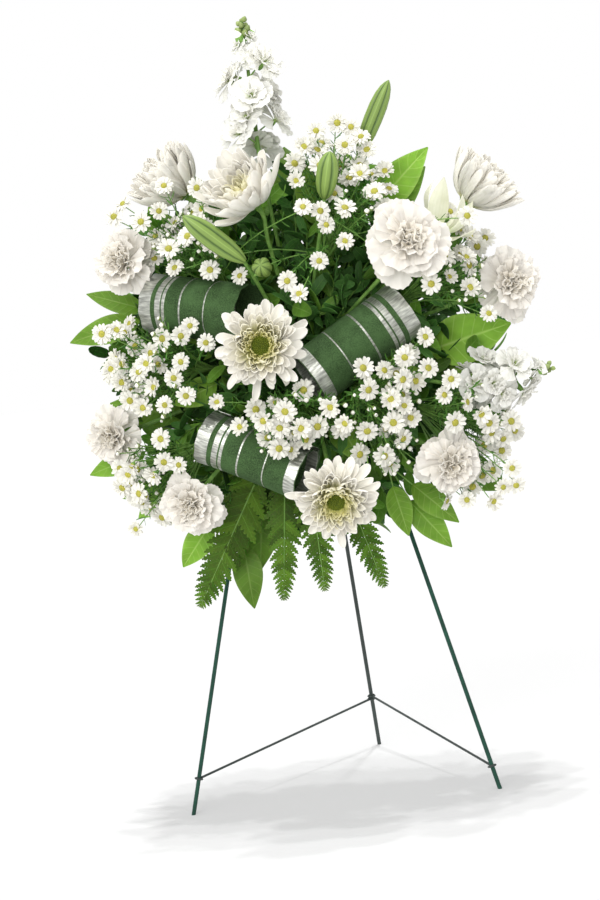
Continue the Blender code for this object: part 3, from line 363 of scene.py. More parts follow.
def shaped_grid(columns, rows, spot):
    """A grid whose points go to spot(u, v): u runs across from -1 to 1, and v along from 0 to 1."""
    deselect()
    bpy.ops.mesh.primitive_grid_add(x_subdivisions=columns, y_subdivisions=rows, size=2)
    thing = bpy.context.object
    for corner in thing.data.vertices:
        corner.co = spot(corner.co.x, (corner.co.y + 1) / 2)
    return thing


def mark(mesh, tone, heart):
    """Give a whole mesh a brightness and a nearness to its bloom's heart, for the materials."""
    for name, value in (("tone", tone), ("heart", heart)):
        attribute = mesh.attributes.get(name) or mesh.attributes.new(name, "FLOAT", "POINT")
        attribute.data.foreach_set("value", [value] * len(mesh.vertices))


def thin_sheet(columns, rows, spot, thickness, material, tone=0.5):
    """A petal, leaf or strip: a shaped grid given its thickness."""
    thing = shaped_grid(columns, rows, spot)
    apply_modifier(thing, "SOLIDIFY", thickness=thickness, offset=0)
    thing.data.materials.append(material)
    mark(thing.data, tone, 0.0)
    return thing


def side_of(direction):
    """A unit vector square to a direction."""
    helper = UP if abs(direction.z) < 0.8 else Vector((1, 0, 0))
    return direction.cross(helper).normalized()


def smooth_path(points, radii, steps):
    """More points on a smooth curve through points, with the radii between the given ones."""
    path, sizes = [], []
    last = len(points) - 1
    for i in range(last):
        before, a, b, after = points[max(i - 1, 0)], points[i], points[i + 1], points[min(i + 2, last)]
        for step in range(steps):
            t = step / steps
            bend = (b - before) * t + (2 * before - 5 * a + 4 * b - after) * t**2
            path.append(a + (bend + (3 * a - before - 3 * b + after) * t**3) * 0.5)
            sizes.append(radii[i] + (radii[i + 1] - radii[i]) * t)
    return path + [points[-1]], sizes + [radii[-1]]


def round_stem(points, radii, sides, material, tone=0.5, flute=None):
    """A closed round stem along points, as thick as radii; flute(angle, share) changes its section."""
    frames = []
    across = None
    for i in range(len(points)):
        ahead = (points[min(i + 1, len(points) - 1)] - points[max(i - 1, 0)]).normalized()
        across = side_of(ahead) if across is None else (across - ahead * across.dot(ahead)).normalized()
        frames.append((across, ahead.cross(across)))
    last = len(points) - 1

    def spot(u, v):
        i = round(v * last)
        angle = math.pi * u
        size = radii[i] * (flute(angle, v) if flute else 1)
        return points[i] + (frames[i][0] * math.cos(angle) + frames[i][1] * math.sin(angle)) * size

    thing = shaped_grid(sides, last, spot)
    bpy.ops.object.mode_set(mode="EDIT")
    bpy.ops.mesh.select_all(action="SELECT")
    bpy.ops.mesh.remove_doubles(threshold=0.002 * MM)
    bpy.ops.mesh.fill_holes(sides=0)
    bpy.ops.mesh.select_all(action="SELECT")
    bpy.ops.mesh.normals_make_consistent(inside=False)
    bpy.ops.object.mode_set(mode="OBJECT")
    thing.data.materials.append(material)
    mark(thing.data, tone, 0.0)
    return thing


def upright_shape(profile, sides, material, tone=0.5, flute=None):
    """A closed round shape on the Z axis, from the height and radius of each ring in millimetres."""
    points = [Vector((0, 0, height * MM)) for height, _ in profile]
    return round_stem(points, [radius * MM for _, radius in profile], sides, material, tone, flute)


def plain_copy(master, matrix):
    """A copy of a modelled shape, with its own mesh, that keeps its parts' brightness and heart."""
    mesh = master.data.copy()
    mesh.transform(matrix)
    thing = bpy.data.objects.new(master.name, mesh)
    bpy.context.scene.collection.objects.link(thing)
    return thing


def copy_of(master, matrix, tone=0.5, heart=0.0):
    """A copy with one brightness and heart value all over."""
    thing = plain_copy(master, matrix)
    mark(thing.data, tone, heart)
    return thing


def discard(things):
    for thing in things:
        bpy.data.objects.remove(thing)


def joined(name, things):
    deselect()
    for thing in things:
        thing.select_set(True)
    bpy.context.view_layer.objects.active = things[0]
    if len(things) > 1:
        bpy.ops.object.join()
    piece = bpy.context.object
    piece.name = name
    piece.data.name = name
    return piece


def finished(name, things, slot, *nodes):
    """Join a piece's parts, move it into the frame's place and tie it to the model."""
    piece = joined(name, things)
    bpy.ops.object.shade_smooth_by_angle(angle=math.radians(55))
    piece.data.transform(Matrix.Translation(SHIFT))
    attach(piece, "root")
    if nodes:
        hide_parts(*nodes)
    return piece


def facing_matrix(centre, axis, spin=0.0):
    """What turns a shape modelled round the origin, facing up, to face an axis at a centre."""
    turn = axis.to_track_quat("Z", "Y").to_matrix().to_4x4()
    return Matrix.Translation(centre) @ turn @ Matrix.Rotation(spin, 4, "Z")


def slope_line(length, slopes):
    """(forward, up, slope) along a strip whose slope goes through the given degrees."""
    steps = 20
    forward = up = 0.0
    line = [(forward, up, math.radians(slopes[0]))]
    for i in range(steps):
        place = (i + 0.5) / steps * (len(slopes) - 1)
        k = min(int(place), len(slopes) - 2)
        slope = math.radians(slopes[k] + (slopes[k + 1] - slopes[k]) * (place - k))
        forward += length / steps * math.cos(slope)
        up += length / steps * math.sin(slope)
        line.append((forward, up, slope))
    return line


def on_line(line, share):
    """The (forward, up, slope) at a share of the way along a slope line."""
    place = min(max(share, 0), 1) * (len(line) - 1)
    k = min(int(place), len(line) - 2)
    return [a + (b - a) * (place - k) for a, b in zip(line[k], line[k + 1])]


def strap_petal(
    length, width, slopes, material, thickness, cup=0.5, neck=0.45, widest=0.8, grooves=0.0, size=(4, 9)
):
    """A long petal from the origin along +X: narrow neck, rounded tip, edges curled up by cup."""
    line = slope_line(length, slopes)

    def spot(u, v):
        v = 1 - (1 - v) ** 1.5
        forward, up, slope = on_line(line, v)
        if v < widest:
            half = neck + (1 - neck) * math.sin(math.pi / 2 * v / widest)
        else:
            half = max(math.sqrt(1 - ((v - widest) / (1 - widest)) ** 2), 0.14)
        half *= width / 2
        lift = cup * half * u * u + grooves * math.cos(3 * math.pi * u) * min(4 * (1 - v), 1)
        side = -u * half * (1 - 0.3 * cup * u * u)
        return Vector((forward - math.sin(slope) * lift, side, up + math.cos(slope) * lift))

    return thin_sheet(*size, spot, thickness, material)


def fan_petal(reach, spread, slopes, ruffle, material, thickness, rng, teeth, size=(20, 7)):
    """A broad pleated petal with a toothed edge, fanned out from the origin along +X."""
    line = slope_line(reach, slopes)
    phase, waves = rng.uniform(0, 6.3), rng.uniform(2.6, 4.0)
    second = rng.uniform(0, 6.3)
    columns = size[0]
    cuts = [rng.uniform(0.3, 1.0) * (k % 2) + rng.uniform(0, 0.35) for k in range(columns + 1)]
    lobe = rng.uniform(0, 6.3)

    def spot(u, v):
        column = round((u + 1) / 2 * columns)
        share = v**0.85
        tooth = teeth * cuts[column] * (v > 0.99)
        rounding = (0.05 * abs(math.sin(1.7 * u + lobe)) + 0.2 * abs(u) ** 3) * v
        radius = reach * share * (1 - tooth - rounding)
        angle = math.radians(spread) * u * (0.55 + 0.45 * v)
        away, side = radius * math.cos(angle), -radius * math.sin(angle)
        forward, up, slope = on_line(line, away / reach)
        fold = math.sin(math.pi * waves * u + phase) + 0.45 * math.sin(math.pi * 2.3 * waves * u + second)
        wave = ruffle * v**1.6 * fold
        return Vector((forward - math.sin(slope) * wave, side, up + math.cos(slope) * wave))

    return thin_sheet(*size, spot, thickness, material)


# Materials


def wired(tree, kind, inputs=None, **settings):
    """A node with its settings, its sockets set to a value or linked from another's."""
    node = tree.nodes.new("ShaderNode" + kind)
    for key, value in settings.items():
        setattr(node, key, value)
    for key, value in (inputs or {}).items():
        if isinstance(value, bpy.types.NodeSocket):
            tree.links.new(value, node.inputs[key])
        else:
            node.inputs[key].default_value = value
    return node


def sum_of(tree, operation, a, b=0.0, clamp=False):
    """The result of a Math node."""
    return wired(tree, "Math", {0: a, 1: b}, operation=operation, use_clamp=clamp).outputs[0]


def mixed(tree, factor, a, b, blend="MIX"):
    """Two colours mixed by a factor."""
    node = wired(tree, "Mix", {0: factor}, data_type="RGBA", blend_type=blend)
    for index, value in ((6, a), (7, b)):
        if isinstance(value, bpy.types.NodeSocket):
            tree.links.new(value, node.inputs[index])
        else:
            node.inputs[index].default_value = (*value, 1)
    return node.outputs[2]


def between(tree, value, low, high, to_low=0.0, to_high=1.0):
    """A value taken from one range to another, and held inside it."""
    inputs = {"Value": value, "From Min": low, "From Max": high, "To Min": to_low, "To Max": to_high}
    return wired(tree, "MapRange", inputs, clamp=True).outputs[0]


def speckle(tree, scale, detail=3.0, stretch=(1, 1, 1)):
    """Noise on the object's own coordinates."""
    place = wired(tree, "TexCoord").outputs["Object"]
    place = wired(tree, "Mapping", {"Vector": place, "Scale": stretch}).outputs[0]
    inputs = {"Vector": place, "Scale": scale, "Detail": detail, "Roughness": 0.55}
    return wired(tree, "TexNoise", inputs).outputs[0]


def sheet_places(tree):
    """How far a point is across a petal or leaf and along it, both from 0 to 1."""
    parts = wired(tree, "SeparateXYZ", {0: wired(tree, "UVMap", uv_map="UVMap").outputs[0]})
    return parts.outputs[0], parts.outputs[1]


def attribute(tree, name):
    return wired(tree, "Attribute", attribute_name=name).outputs["Fac"]


def new_finish(name, roughness, **sockets):
    """A new material, its node tree and its shader, with the shader's sockets set."""
    material = bpy.data.materials.new(name)
    material.use_nodes = True
    tree = material.node_tree
    shader = tree.nodes["Principled BSDF"]
    shader.inputs["Roughness"].default_value = roughness
    for key, value in sockets.items():
        shader.inputs[key.replace("_", " ")].default_value = value
    return material, tree, shader


def bumped(tree, shader, height, strength, distance):
    node = wired(tree, "Bump", {"Height": height, "Strength": strength, "Distance": distance})
    tree.links.new(node.outputs[0], shader.inputs["Normal"])


def petal_finish(name, tip, foot, heart_reach, veins, base_reach, cream=None):
    """White petals: greener at the foot, creamier towards the heart, with fine long veins."""
    material, tree, shader = new_finish(
        name,
        0.5,
        Subsurface_Weight=0.35,
        Subsurface_Scale=0.006,
        Subsurface_Radius=(1.0, 0.96, 0.88),
        Specular_IOR_Level=0.3,
    )
    across, along = sheet_places(tree)
    heart = attribute(tree, "heart")
    reach = sum_of(tree, "ADD", sum_of(tree, "MULTIPLY", heart, heart_reach), base_reach)
    foot_share = sum_of(tree, "SUBTRACT", 1.0, sum_of(tree, "DIVIDE", along, reach), clamp=True)
    cloud = speckle(tree, 70)
    colour = mixed(tree, between(tree, heart, 0.4, 1.0), tip, cream or tip)
    colour = mixed(tree, foot_share, colour, foot)
    shade = between(tree, cloud, 0.3, 0.7, 0.0, 0.35)
    colour = mixed(tree, shade, colour, [c * 0.86 for c in tip], "MULTIPLY")
    vein = sum_of(tree, "SINE", sum_of(tree, "MULTIPLY", across, veins * FULL_TURN))
    vein = sum_of(tree, "MULTIPLY", vein, between(tree, along, 0.55, 0.85, 1.0, 0.0))
    vein_shade = between(tree, vein, 0.5, 1.0, 0.0, 0.08)
    colour = mixed(tree, vein_shade, colour, [c * 0.7 for c in foot])
    colour = toned(tree, colour, 0.90, 1.05)
    tree.links.new(colour, shader.inputs["Base Color"])
    height = sum_of(tree, "ADD", sum_of(tree, "MULTIPLY", vein, 0.5), cloud)
    bumped(tree, shader, height, 0.35, 0.3 * MM)
    return material


def toned(tree, colour, dark, light):
    """A colour made darker or lighter by its part's tone: mostly its own brightness, and on the leafy stems'
    broad leaves also painted shade.
    """
    tone = between(tree, attribute(tree, "tone"), 0.0, 1.0, dark, light)
    grey = wired(tree, "CombineXYZ", {0: tone, 1: tone, 2: tone}).outputs[0]
    return mixed(tree, 1.0, colour, grey, "MULTIPLY")


def leaf_finish(name, green, pale, gloss, pairs, dark=0.45):
    """A leaf with a pale midrib and side veins that run forward from it."""
    material, tree, shader = new_finish(
        name,
        gloss,
        Subsurface_Weight=0.12,
        Subsurface_Scale=0.003,
        Subsurface_Radius=(0.3, 1.0, 0.1),
        Specular_IOR_Level=0.12,
    )
    across, along = sheet_places(tree)
    aside = sum_of(tree, "ABSOLUTE", sum_of(tree, "SUBTRACT", sum_of(tree, "MULTIPLY", across, 2.0), 1.0))
    place = sum_of(tree, "SUBTRACT", along, sum_of(tree, "MULTIPLY", aside, 0.144))
    ridge = sum_of(tree, "SINE", sum_of(tree, "MULTIPLY", place, pairs * FULL_TURN))
    side_vein = between(tree, ridge, 0.90, 1.0)
    midrib = between(tree, aside, 0.0, 0.09, 1.0, 0.0)
    veins = sum_of(tree, "MAXIMUM", sum_of(tree, "MULTIPLY", side_vein, 0.45), midrib)
    cloud = speckle(tree, 45, 4)
    colour = mixed(tree, between(tree, cloud, 0.3, 0.7), [c * 0.78 for c in green], [c * 1.15 for c in green])
    colour = mixed(tree, sum_of(tree, "MULTIPLY", veins, 0.6), colour, pale)
    colour = mixed(tree, between(tree, aside, 0.75, 1.0, 0.0, 0.25), colour, pale)
    tree.links.new(toned(tree, colour, dark, 1.5), shader.inputs["Base Color"])
    tree.links.new(between(tree, cloud, 0.3, 0.7, gloss - 0.08, gloss + 0.10), shader.inputs["Roughness"])
    sunk_midrib = sum_of(tree, "MULTIPLY", midrib, -1.2)
    height = sum_of(tree, "ADD", sum_of(tree, "MULTIPLY", ridge, 0.35), sunk_midrib)
    bumped(tree, shader, height, 0.5, 0.35 * MM)
    return material


def grown_finish(name, green, pale, gloss, scale, stretch=(1, 1, 1)):
    """Stems, buds, calyxes and buttons: one colour broken into lighter and darker spots."""
    material, tree, shader = new_finish(name, gloss, Specular_IOR_Level=0.3)
    cloud = speckle(tree, scale, 4, stretch)
    colour = mixed(tree, between(tree, cloud, 0.32, 0.68), green, pale)
    tree.links.new(toned(tree, colour, 0.7, 1.3), shader.inputs["Base Color"])
    tree.links.new(between(tree, cloud, 0.3, 0.7, gloss - 0.06, gloss + 0.1), shader.inputs["Roughness"])
    bumped(tree, shader, cloud, 0.3, 0.3 * MM)
    return material


def ridged_finish(name, groove, ridge, gloss):
    """A lily bud: six pale ridges with a dark groove between each two."""
    material, tree, shader = new_finish(name, gloss)
    around = sheet_places(tree)[0]
    turn = sum_of(tree, "MULTIPLY", sum_of(tree, "SUBTRACT", around, 0.5), 6 * math.pi)
    high = sum_of(tree, "ABSOLUTE", sum_of(tree, "COSINE", turn))
    cloud = speckle(tree, 60, 4)
    colour = mixed(tree, between(tree, high, 0.05, 0.6), groove, ridge)
    colour = mixed(tree, between(tree, cloud, 0.3, 0.7, 0.0, 0.4), colour, [c * 0.75 for c in ridge])
    colour = mixed(tree, between(tree, high, 0.985, 1.0, 0.0, 0.6), colour, [c * 1.5 for c in ridge])
    tree.links.new(toned(tree, colour, 0.8, 1.2), shader.inputs["Base Color"])
    bumped(tree, shader, sum_of(tree, "ADD", high, cloud), 0.3, 0.4 * MM)
    return material


def view_frame():
    """The camera's place and its right, upward and backward directions, in the stand's measure."""
    azimuth, elevation, roll = (math.radians(v) for v in CAMERA_TURNS)
    flat = math.cos(elevation)
    back = Vector((math.sin(azimuth) * flat, -math.cos(azimuth) * flat, math.sin(elevation)))
    right = Vector((math.cos(azimuth), math.sin(azimuth), 0))
    above = back.cross(right)
    turned = right * math.cos(roll) + above * math.sin(roll)
    upward = above * math.cos(roll) - right * math.sin(roll)
    return CAMERA_TARGET + back * CAMERA_DISTANCE, turned, upward, back


def seen_at(column, row, depth):
    """The point that the camera shows at a column and row of the picture, at a depth y."""
    place, turned, upward, back = view_frame()
    focal = CAMERA_LENS / FILM_WIDTH * PICTURE_HEIGHT
    ray = (turned * (column - PICTURE_WIDTH / 2) + upward * (PICTURE_HEIGHT / 2 - row)) / focal - back
    return place + ray * ((depth - place.y) / ray.y)


def colours():
    """The colours set in the panel."""
    return bpy.context.scene.spray_colours


def sizes():
    """The sizes set in the panel."""
    return bpy.context.scene.spray_sizes


FINISHES = {}


def finish(name):
    """The material of a name, made when it is first asked for."""
    if name in FINISHES:
        return FINISHES[name]
    c = colours()
    white, heart, leaf = tuple(c.petal_white), tuple(c.petal_heart), tuple(c.leaf_green)
    cream = (0.84, 0.78, 0.34)
    makers = {
        "mum petal": lambda: petal_finish(name, white, heart, 0.70, 4, 0.16, cream),
        "carnation petal": lambda: petal_finish(
            name, (0.86, 0.82, 0.75), (0.78, 0.72, 0.56), 0.2, 9, 0.12, (0.88, 0.83, 0.72)
        ),
        "aster petal": lambda: petal_finish(name, (0.88, 0.86, 0.78), (0.60, 0.64, 0.34), 0.2, 2, 0.10),
        "floret petal": lambda: petal_finish(name, (0.88, 0.87, 0.81), (0.50, 0.62, 0.22), 0.3, 5, 0.20),
        "lily petal": lambda: petal_finish(name, (0.80, 0.80, 0.62), (0.42, 0.56, 0.16), 0.6, 6, 0.35),
        "mum disc": lambda: grown_finish(name, tuple(c.disc_green), (0.15, 0.18, 0.012), 0.7, 500),
        "aster disc": lambda: grown_finish(name, tuple(c.aster_disc), (0.22, 0.25, 0.035), 0.6, 700),
        "broad leaf": lambda: leaf_finish(name, leaf, (0.32, 0.46, 0.12), 0.5, 8),
        "fern leaf": lambda: leaf_finish(name, tuple(c.fern_green), (0.10, 0.20, 0.03), 0.6, 6, dark=0.6),
        # The dark leaf is darker than the other greens as painted shade for the gaps deep between the flowers
        "dark leaf with painted shade": lambda: leaf_finish(name, (0.045, 0.12, 0.025), (0.10, 0.22, 0.05), 0.5, 5),
        "young leaf": lambda: leaf_finish(name, (0.11, 0.24, 0.028), (0.22, 0.38, 0.09), 0.5, 5),
        "needle leaf": lambda: leaf_finish(name, (0.06, 0.15, 0.026), (0.12, 0.25, 0.05), 0.5, 2),
        "stem": lambda: grown_finish(name, tuple(c.stem_green), (0.20, 0.36, 0.08), 0.45, 130, (1, 1, 0.25)),
        "bud": lambda: grown_finish(name, (0.15, 0.21, 0.06), (0.27, 0.33, 0.12), 0.45, 90, (1, 1, 0.4)),
        "lily bud": lambda: ridged_finish(name, (0.035, 0.085, 0.012), (0.19, 0.29, 0.06), 0.5),
        "dyed wood": lambda: dyed_wood_finish(name),
    }
    FINISHES[name] = makers[name]()
    return FINISHES[name]


def ribbon_finish(name, foil_lines):
    """Green velvet with a crinkled foil band down one edge and the given foil lines."""
    c = colours()
    material, tree, shader = new_finish(name, 0.8, Specular_IOR_Level=0.15)
    across, along = sheet_places(tree)

    def stripe(middle, half):
        away = sum_of(tree, "ABSOLUTE", sum_of(tree, "SUBTRACT", across, middle))
        return between(tree, away, half, half + 0.004, 1.0, 0.0)

    lines = stripe(*WIDE_FOIL)
    for middle, half in foil_lines:
        lines = sum_of(tree, "MAXIMUM", lines, stripe(middle, half))
    pile = speckle(tree, 700, 4)
    cloud = speckle(tree, 38, 3)
    green = tuple(c.ribbon_green)
    velvet = mixed(tree, between(tree, pile, 0.32, 0.68), [v * 0.45 for v in green], [v * 1.7 for v in green])
    velvet = mixed(tree, between(tree, cloud, 0.38, 0.66, 0.0, 0.5), velvet, [v * 2.1 for v in green])
    spread = {0: sum_of(tree, "MULTIPLY", across, 10.0), 1: sum_of(tree, "MULTIPLY", along, 95.0)}
    place = wired(tree, "CombineXYZ", spread).outputs[0]
    crinkle = wired(tree, "TexNoise", {"Vector": place, "Scale": 1.0, "Detail": 4.0}).outputs[0]
    # Painted reflection: the foil's colour runs from dull to bright with its crinkles, dark patches and
    # glints that stand for light off the crinkled foil
    dull = [v * 0.45 for v in c.ribbon_silver]
    glint_silver = [min(v * 1.35, 0.95) for v in c.ribbon_silver]
    silver = mixed(tree, between(tree, crinkle, 0.3, 0.7), dull, glint_silver)
    tree.links.new(mixed(tree, lines, velvet, silver), shader.inputs["Base Color"])
    tree.links.new(sum_of(tree, "MULTIPLY", lines, 0.85), shader.inputs["Metallic"])
    tree.links.new(between(tree, lines, 0.0, 1.0, 0.8, 0.34), shader.inputs["Roughness"])
    rib = sum_of(tree, "MULTIPLY", crinkle, lines)
    bumped(tree, shader, sum_of(tree, "ADD", rib, sum_of(tree, "MULTIPLY", pile, 0.25)), 0.6, 0.7 * MM)
    return material


def coated_finish(name, colour, light, gloss, scale, bump, **sockets):
    """Paint or plastic: slight clouding, fine grain in the gloss and a little bump."""
    material, tree, shader = new_finish(name, gloss, **sockets)
    cloud = speckle(tree, scale, 4)
    fine = speckle(tree, scale * 9, 2)
    tree.links.new(mixed(tree, between(tree, cloud, 0.35, 0.75), colour, light), shader.inputs["Base Color"])
    tree.links.new(between(tree, fine, 0.3, 0.7, gloss - 0.08, gloss + 0.14), shader.inputs["Roughness"])
    bumped(tree, shader, fine, 0.25, bump)
    return material


def foam_finish(name):
    """Wet foam: dark green, full of small pores."""
    material, tree, shader = new_finish(name, 0.9)
    place = wired(tree, "TexCoord").outputs["Object"]
    pores = wired(tree, "TexVoronoi", {"Vector": place, "Scale": 420.0}).outputs["Distance"]
    cloud = speckle(tree, 30, 4)
    colour = mixed(tree, between(tree, cloud, 0.3, 0.7), (0.03, 0.11, 0.045), (0.06, 0.19, 0.08))
    colour = mixed(tree, between(tree, pores, 0.0, 0.35, 0.6, 0.0), colour, (0.012, 0.045, 0.02))
    tree.links.new(colour, shader.inputs["Base Color"])
    bumped(tree, shader, pores, 0.8, 0.8 * MM)
    return material


def dyed_wood_finish(name):
    """A green-dyed wood pick: grain drawn out along it."""
    material, tree, shader = new_finish(name, 0.7)
    grain = speckle(tree, 260, 5, (1, 0.12, 1))
    colour = mixed(tree, between(tree, grain, 0.3, 0.7), (0.05, 0.13, 0.04), (0.15, 0.28, 0.10))
    tree.links.new(colour, shader.inputs["Base Color"])
    bumped(tree, shader, grain, 0.4, 0.3 * MM)
    return material


def repaint(node, material):
    """Put a finish on a CAD node that keeps its shape."""
    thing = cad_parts[node]
    for slot in thing.material_slots:
        slot.material = material
    if not thing.material_slots:
        thing.data.materials.append(material)


# Places shared with the solids


def millimetres(numbers):
    return Vector(numbers) * MM


def stem_start(target):
    """Where a stem that points at the foam's middle ends inside the foam."""
    return FOCUS + (target - FOCUS).normalized() * STEM_DEPTH


def capped_distance(point, low, high, radius):
    """How far a point lies outside a capped cylinder; negative inside."""
    axis = high - low
    length = axis.length
    axis.normalize()
    height = (point - low).dot(axis)
    side = (point - low - axis * height).length - radius
    end = abs(height - length / 2) - length / 2
    if side > 0 and end > 0:
        return math.hypot(side, end)
    return max(side, end)


def touches(points, blocks, room):
    """Whether any of the points lies nearer to a block than the room it has to keep."""
    return any(capped_distance(point, *block) < room for point in points for block in blocks)


def steps_between(start, end, count):
    """Points at even steps from a start, which is left out, to an end."""
    return [start.lerp(end, (step + 1) / count) for step in range(count)]


def random_tilt(rng):
    return Vector((rng.uniform(-1, 1), rng.uniform(-1, 1), rng.uniform(-1, 1)))


def foam_exit(direction):
    """How far from its middle a line leaves the foam block."""
    faces = zip(FOAM_SIZE / 2, PLANE_AXES)
    return min(abs(half / direction.dot(axis)) for half, axis in faces if direction.dot(axis))


def leaf_places(end, leaves):
    """For each leaf where its stalk leaves the stem, its base, tip, width and brightness."""
    direction = (end - FOCUS).normalized()
    nearest = foam_exit(direction) + 6 * MM
    furthest = (end - FOCUS).length
    for number, (base, tip, width, tone) in enumerate(leaves):
        base = millimetres(base)
        reach = min(0.85 * (base - FOCUS).length, furthest - (2 + 5 * number) * MM)
        yield FOCUS + direction * max(reach, nearest), base, millimetres(tip), width * MM, tone


def bloom_blocks():
    """Capped cylinders round the blooms, buds and rolls."""
    blocks = []
    for table, behind in ((MUMS, 16), (CARNATIONS, 14)):
        for centre, axis, radius, *cup, _ in table.values():
            centre, axis = millimetres(centre), Vector(axis).normalized()
            front = centre + axis * (20 * MM + sum(cup) * 0.6 * CUP_RISE)
            blocks.append((centre - axis * behind * MM, front, radius * MM))
            blocks.append((stem_start(centre), centre - axis * behind * MM, 3 * MM))
    for end_a, end_b, radius, _ in RIBBONS.values():
        end_a, end_b = millimetres(end_a), millimetres(end_b)
        blocks.append((end_a, end_b, radius * MM))
        blocks.append((stem_start(end_a.lerp(end_b, 0.5)), end_a.lerp(end_b, 0.5), 2 * MM))
    for base, tip, radius, _, _, _ in SPIKES.values():
        base, tip = millimetres(base), millimetres(tip)
        blocks.append((base, base.lerp(tip, SPIKE_FLORET_PART), 1.9 * radius * MM))
        blocks.append((stem_start(base), base, 3 * MM))
    for buds in LILY_BUDS.values():
        for base, tip, radius in buds:
            blocks.append((millimetres(base), millimetres(tip), radius * MM))
        blocks.append((stem_start(millimetres(buds[0][0])), millimetres(buds[0][0]), 4 * MM))
    for tip in LILY_TIPS:
        blocks.append((LILY_BASE, millimetres(tip), 9 * MM))
    blocks.append((stem_start(LILY_BASE), LILY_BASE, 4 * MM))
    return blocks


def aster_obstacles():
    """The blooms' blocks and those of the leaves and ferns."""
    blocks = bloom_blocks()
    for end, leaves in LEAFY_STEMS.values():
        end = millimetres(end)
        blocks.append((stem_start(end), end, 3 * MM))
        for root, base, tip, width, _ in leaf_places(end, leaves):
            blocks.append((root, base, 2 * MM))
            blocks.append((base, tip, 0.48 * width))
    for base, tip, half_width, _, _ in FERNS.values():
        blocks.append((millimetres(base), millimetres(tip), 0.5 * half_width * MM))
        blocks.append((stem_start(millimetres(base)), millimetres(base), 3 * MM))
    return blocks


def aster_frame(centre):
    """A spray's outward, right and upward directions, and where its stem forks."""
    outward = (centre - FOCUS).normalized()
    right = UP.cross(outward).normalized()
    return outward, right, outward.cross(right), FOCUS + (centre - FOCUS) * 0.52


def aster_places():
    """For each spray its fork, its direction and the (root, centre, facing) of every head.

    Heads follow a golden-angle spiral over the spray's patch, with a small seeded shift, and
    those too near another piece are passed over. It gives the same places as the solids have,
    with a list of all the heads' centres and the blocks that they keep clear of.
    """
    blocks = aster_obstacles()
    taken = []
    places = {}
    for name, (centre, across, up, count, seed) in ASTERS.items():
        rng = random.Random(seed)
        centre = millimetres(centre)
        outward, right, above, fork = aster_frame(centre)
        heads = []
        for i in range(12 * count):
            reach = math.sqrt((i % (2 * count) + 0.5) / (1.6 * count))
            angle = i * GOLDEN_ANGLE + rng.uniform(-0.3, 0.3)
            spot = centre + right * (across * MM * reach * math.cos(angle))
            spot += above * (up * MM * reach * math.sin(angle))
            spot += outward * (rng.uniform(-14, 14) - 10 * reach * reach) * MM
            facing = (outward * 0.7 + VIEWER * 0.6 + random_tilt(rng) * 0.35).normalized()
            if len(heads) == count:
                continue
            if any((spot - other).length < 25 * MM for other in taken):
                continue
            if touches([spot], blocks, 14 * MM):
                continue
            root = fork + outward * (i % count) / count * 34 * MM
            foot = spot - facing * 9 * MM
            if touches(steps_between(root, foot, 12), blocks, 2.2 * MM):
                continue
            taken.append(spot)
            heads.append((root, spot, facing))
        places[name] = (fork, outward, heads)
    return places, taken, blocks


def more_asters(name, taken, blocks, wanted, apart, clear, rng):
    """Places for smaller heads or buds between those that a spray already has."""
    centre, across, up, _, _ = ASTERS[name]
    centre = millimetres(centre)
    outward, right, above, fork = aster_frame(centre)
    near = [block for block in blocks if capped_distance(centre, *block) < 130 * MM]
    found = []
    for _ in range(60 * wanted):
        if len(found) == wanted:
            break
        reach, angle = 1.2 * math.sqrt(rng.random()), rng.uniform(0, 2 * math.pi)
        spot = centre + right * (across * MM * reach * math.cos(angle))
        spot += above * (up * MM * reach * math.sin(angle))
        spot += outward * (rng.uniform(-18, 12) - 10 * reach * reach) * MM
        facing = (outward * 0.7 + VIEWER * 0.5 + random_tilt(rng) * 0.5).normalized()
        if any((spot - other).length < apart for other in taken):
            continue
        if touches([spot], near, clear):
            continue
        root = fork + outward * rng.uniform(0, 34) * MM
        foot = spot - facing * 9 * MM
        if touches(steps_between(root, foot, 8), near, 1.5 * MM):
            continue
        taken.append(spot)
        found.append((root, spot, facing))
    return found


def seen_asters(places, taken, blocks, rng):
    """For each spray the heads that the picture shows between its own, on the nearest free stalk."""
    found = {name: [] for name in places}
    for depth, spots in SEEN_ASTERS:
        for column, row in spots:
            spot = seen_at(column, row, (depth + rng.uniform(-8, 8)) * MM)
            facing = (VIEWER + (spot - FOCUS).normalized() * 0.4 + random_tilt(rng) * 0.35).normalized()
            if any((spot - other).length < 15 * MM for other in taken):
                continue
            foot = spot - facing * 9 * MM
            ways = []
            for name, (fork, outward, _) in places.items():
                for reach in (0, 16 * MM, 32 * MM):
                    root = fork + outward * reach
                    if not touches(steps_between(root, foot, 12), blocks, 1.2 * MM):
                        ways.append(((foot - root).length, name, root))
            if ways:
                _, name, root = min(ways, key=lambda way: way[0])
                taken.append(spot)
                found[name].append((root, spot, facing))
    return found


def curved_stem(base, axis, bend=45 * MM):
    """A stem straight out of the foam that bends into a bloom's axis just under the bloom."""
    start = stem_start(base)
    direction = (base - FOCUS).normalized()
    knee = base - direction * bend
    first, second = knee + direction * bend * 0.4, base - axis * bend * 0.4
    points = [start]
    for step in range(4):
        t = step / 3
        a, b, c = knee.lerp(first, t), first.lerp(second, t), second.lerp(base, t)
        points.append(a.lerp(b, t).lerp(b.lerp(c, t), t))
    return points


def knee_below(base):
    """Where a stem, straight up to 30 mm short of its base point, starts to bend."""
    return base - (base - FOCUS).normalized() * 30 * MM


def stem_piece(name, points, radii, node):
    """A bloom's stem in place of its node: straight in the foam, then smooth through the points."""
    radii = [radius * MM for radius in radii]
    first, rest = points[0], smooth_path(points[1:], radii[1:], 4)
    stem = round_stem([first] + rest[0], [radii[0]] + rest[1], 12, finish("stem"))
    return finished(name, [stem], "stem", node)


# Mums


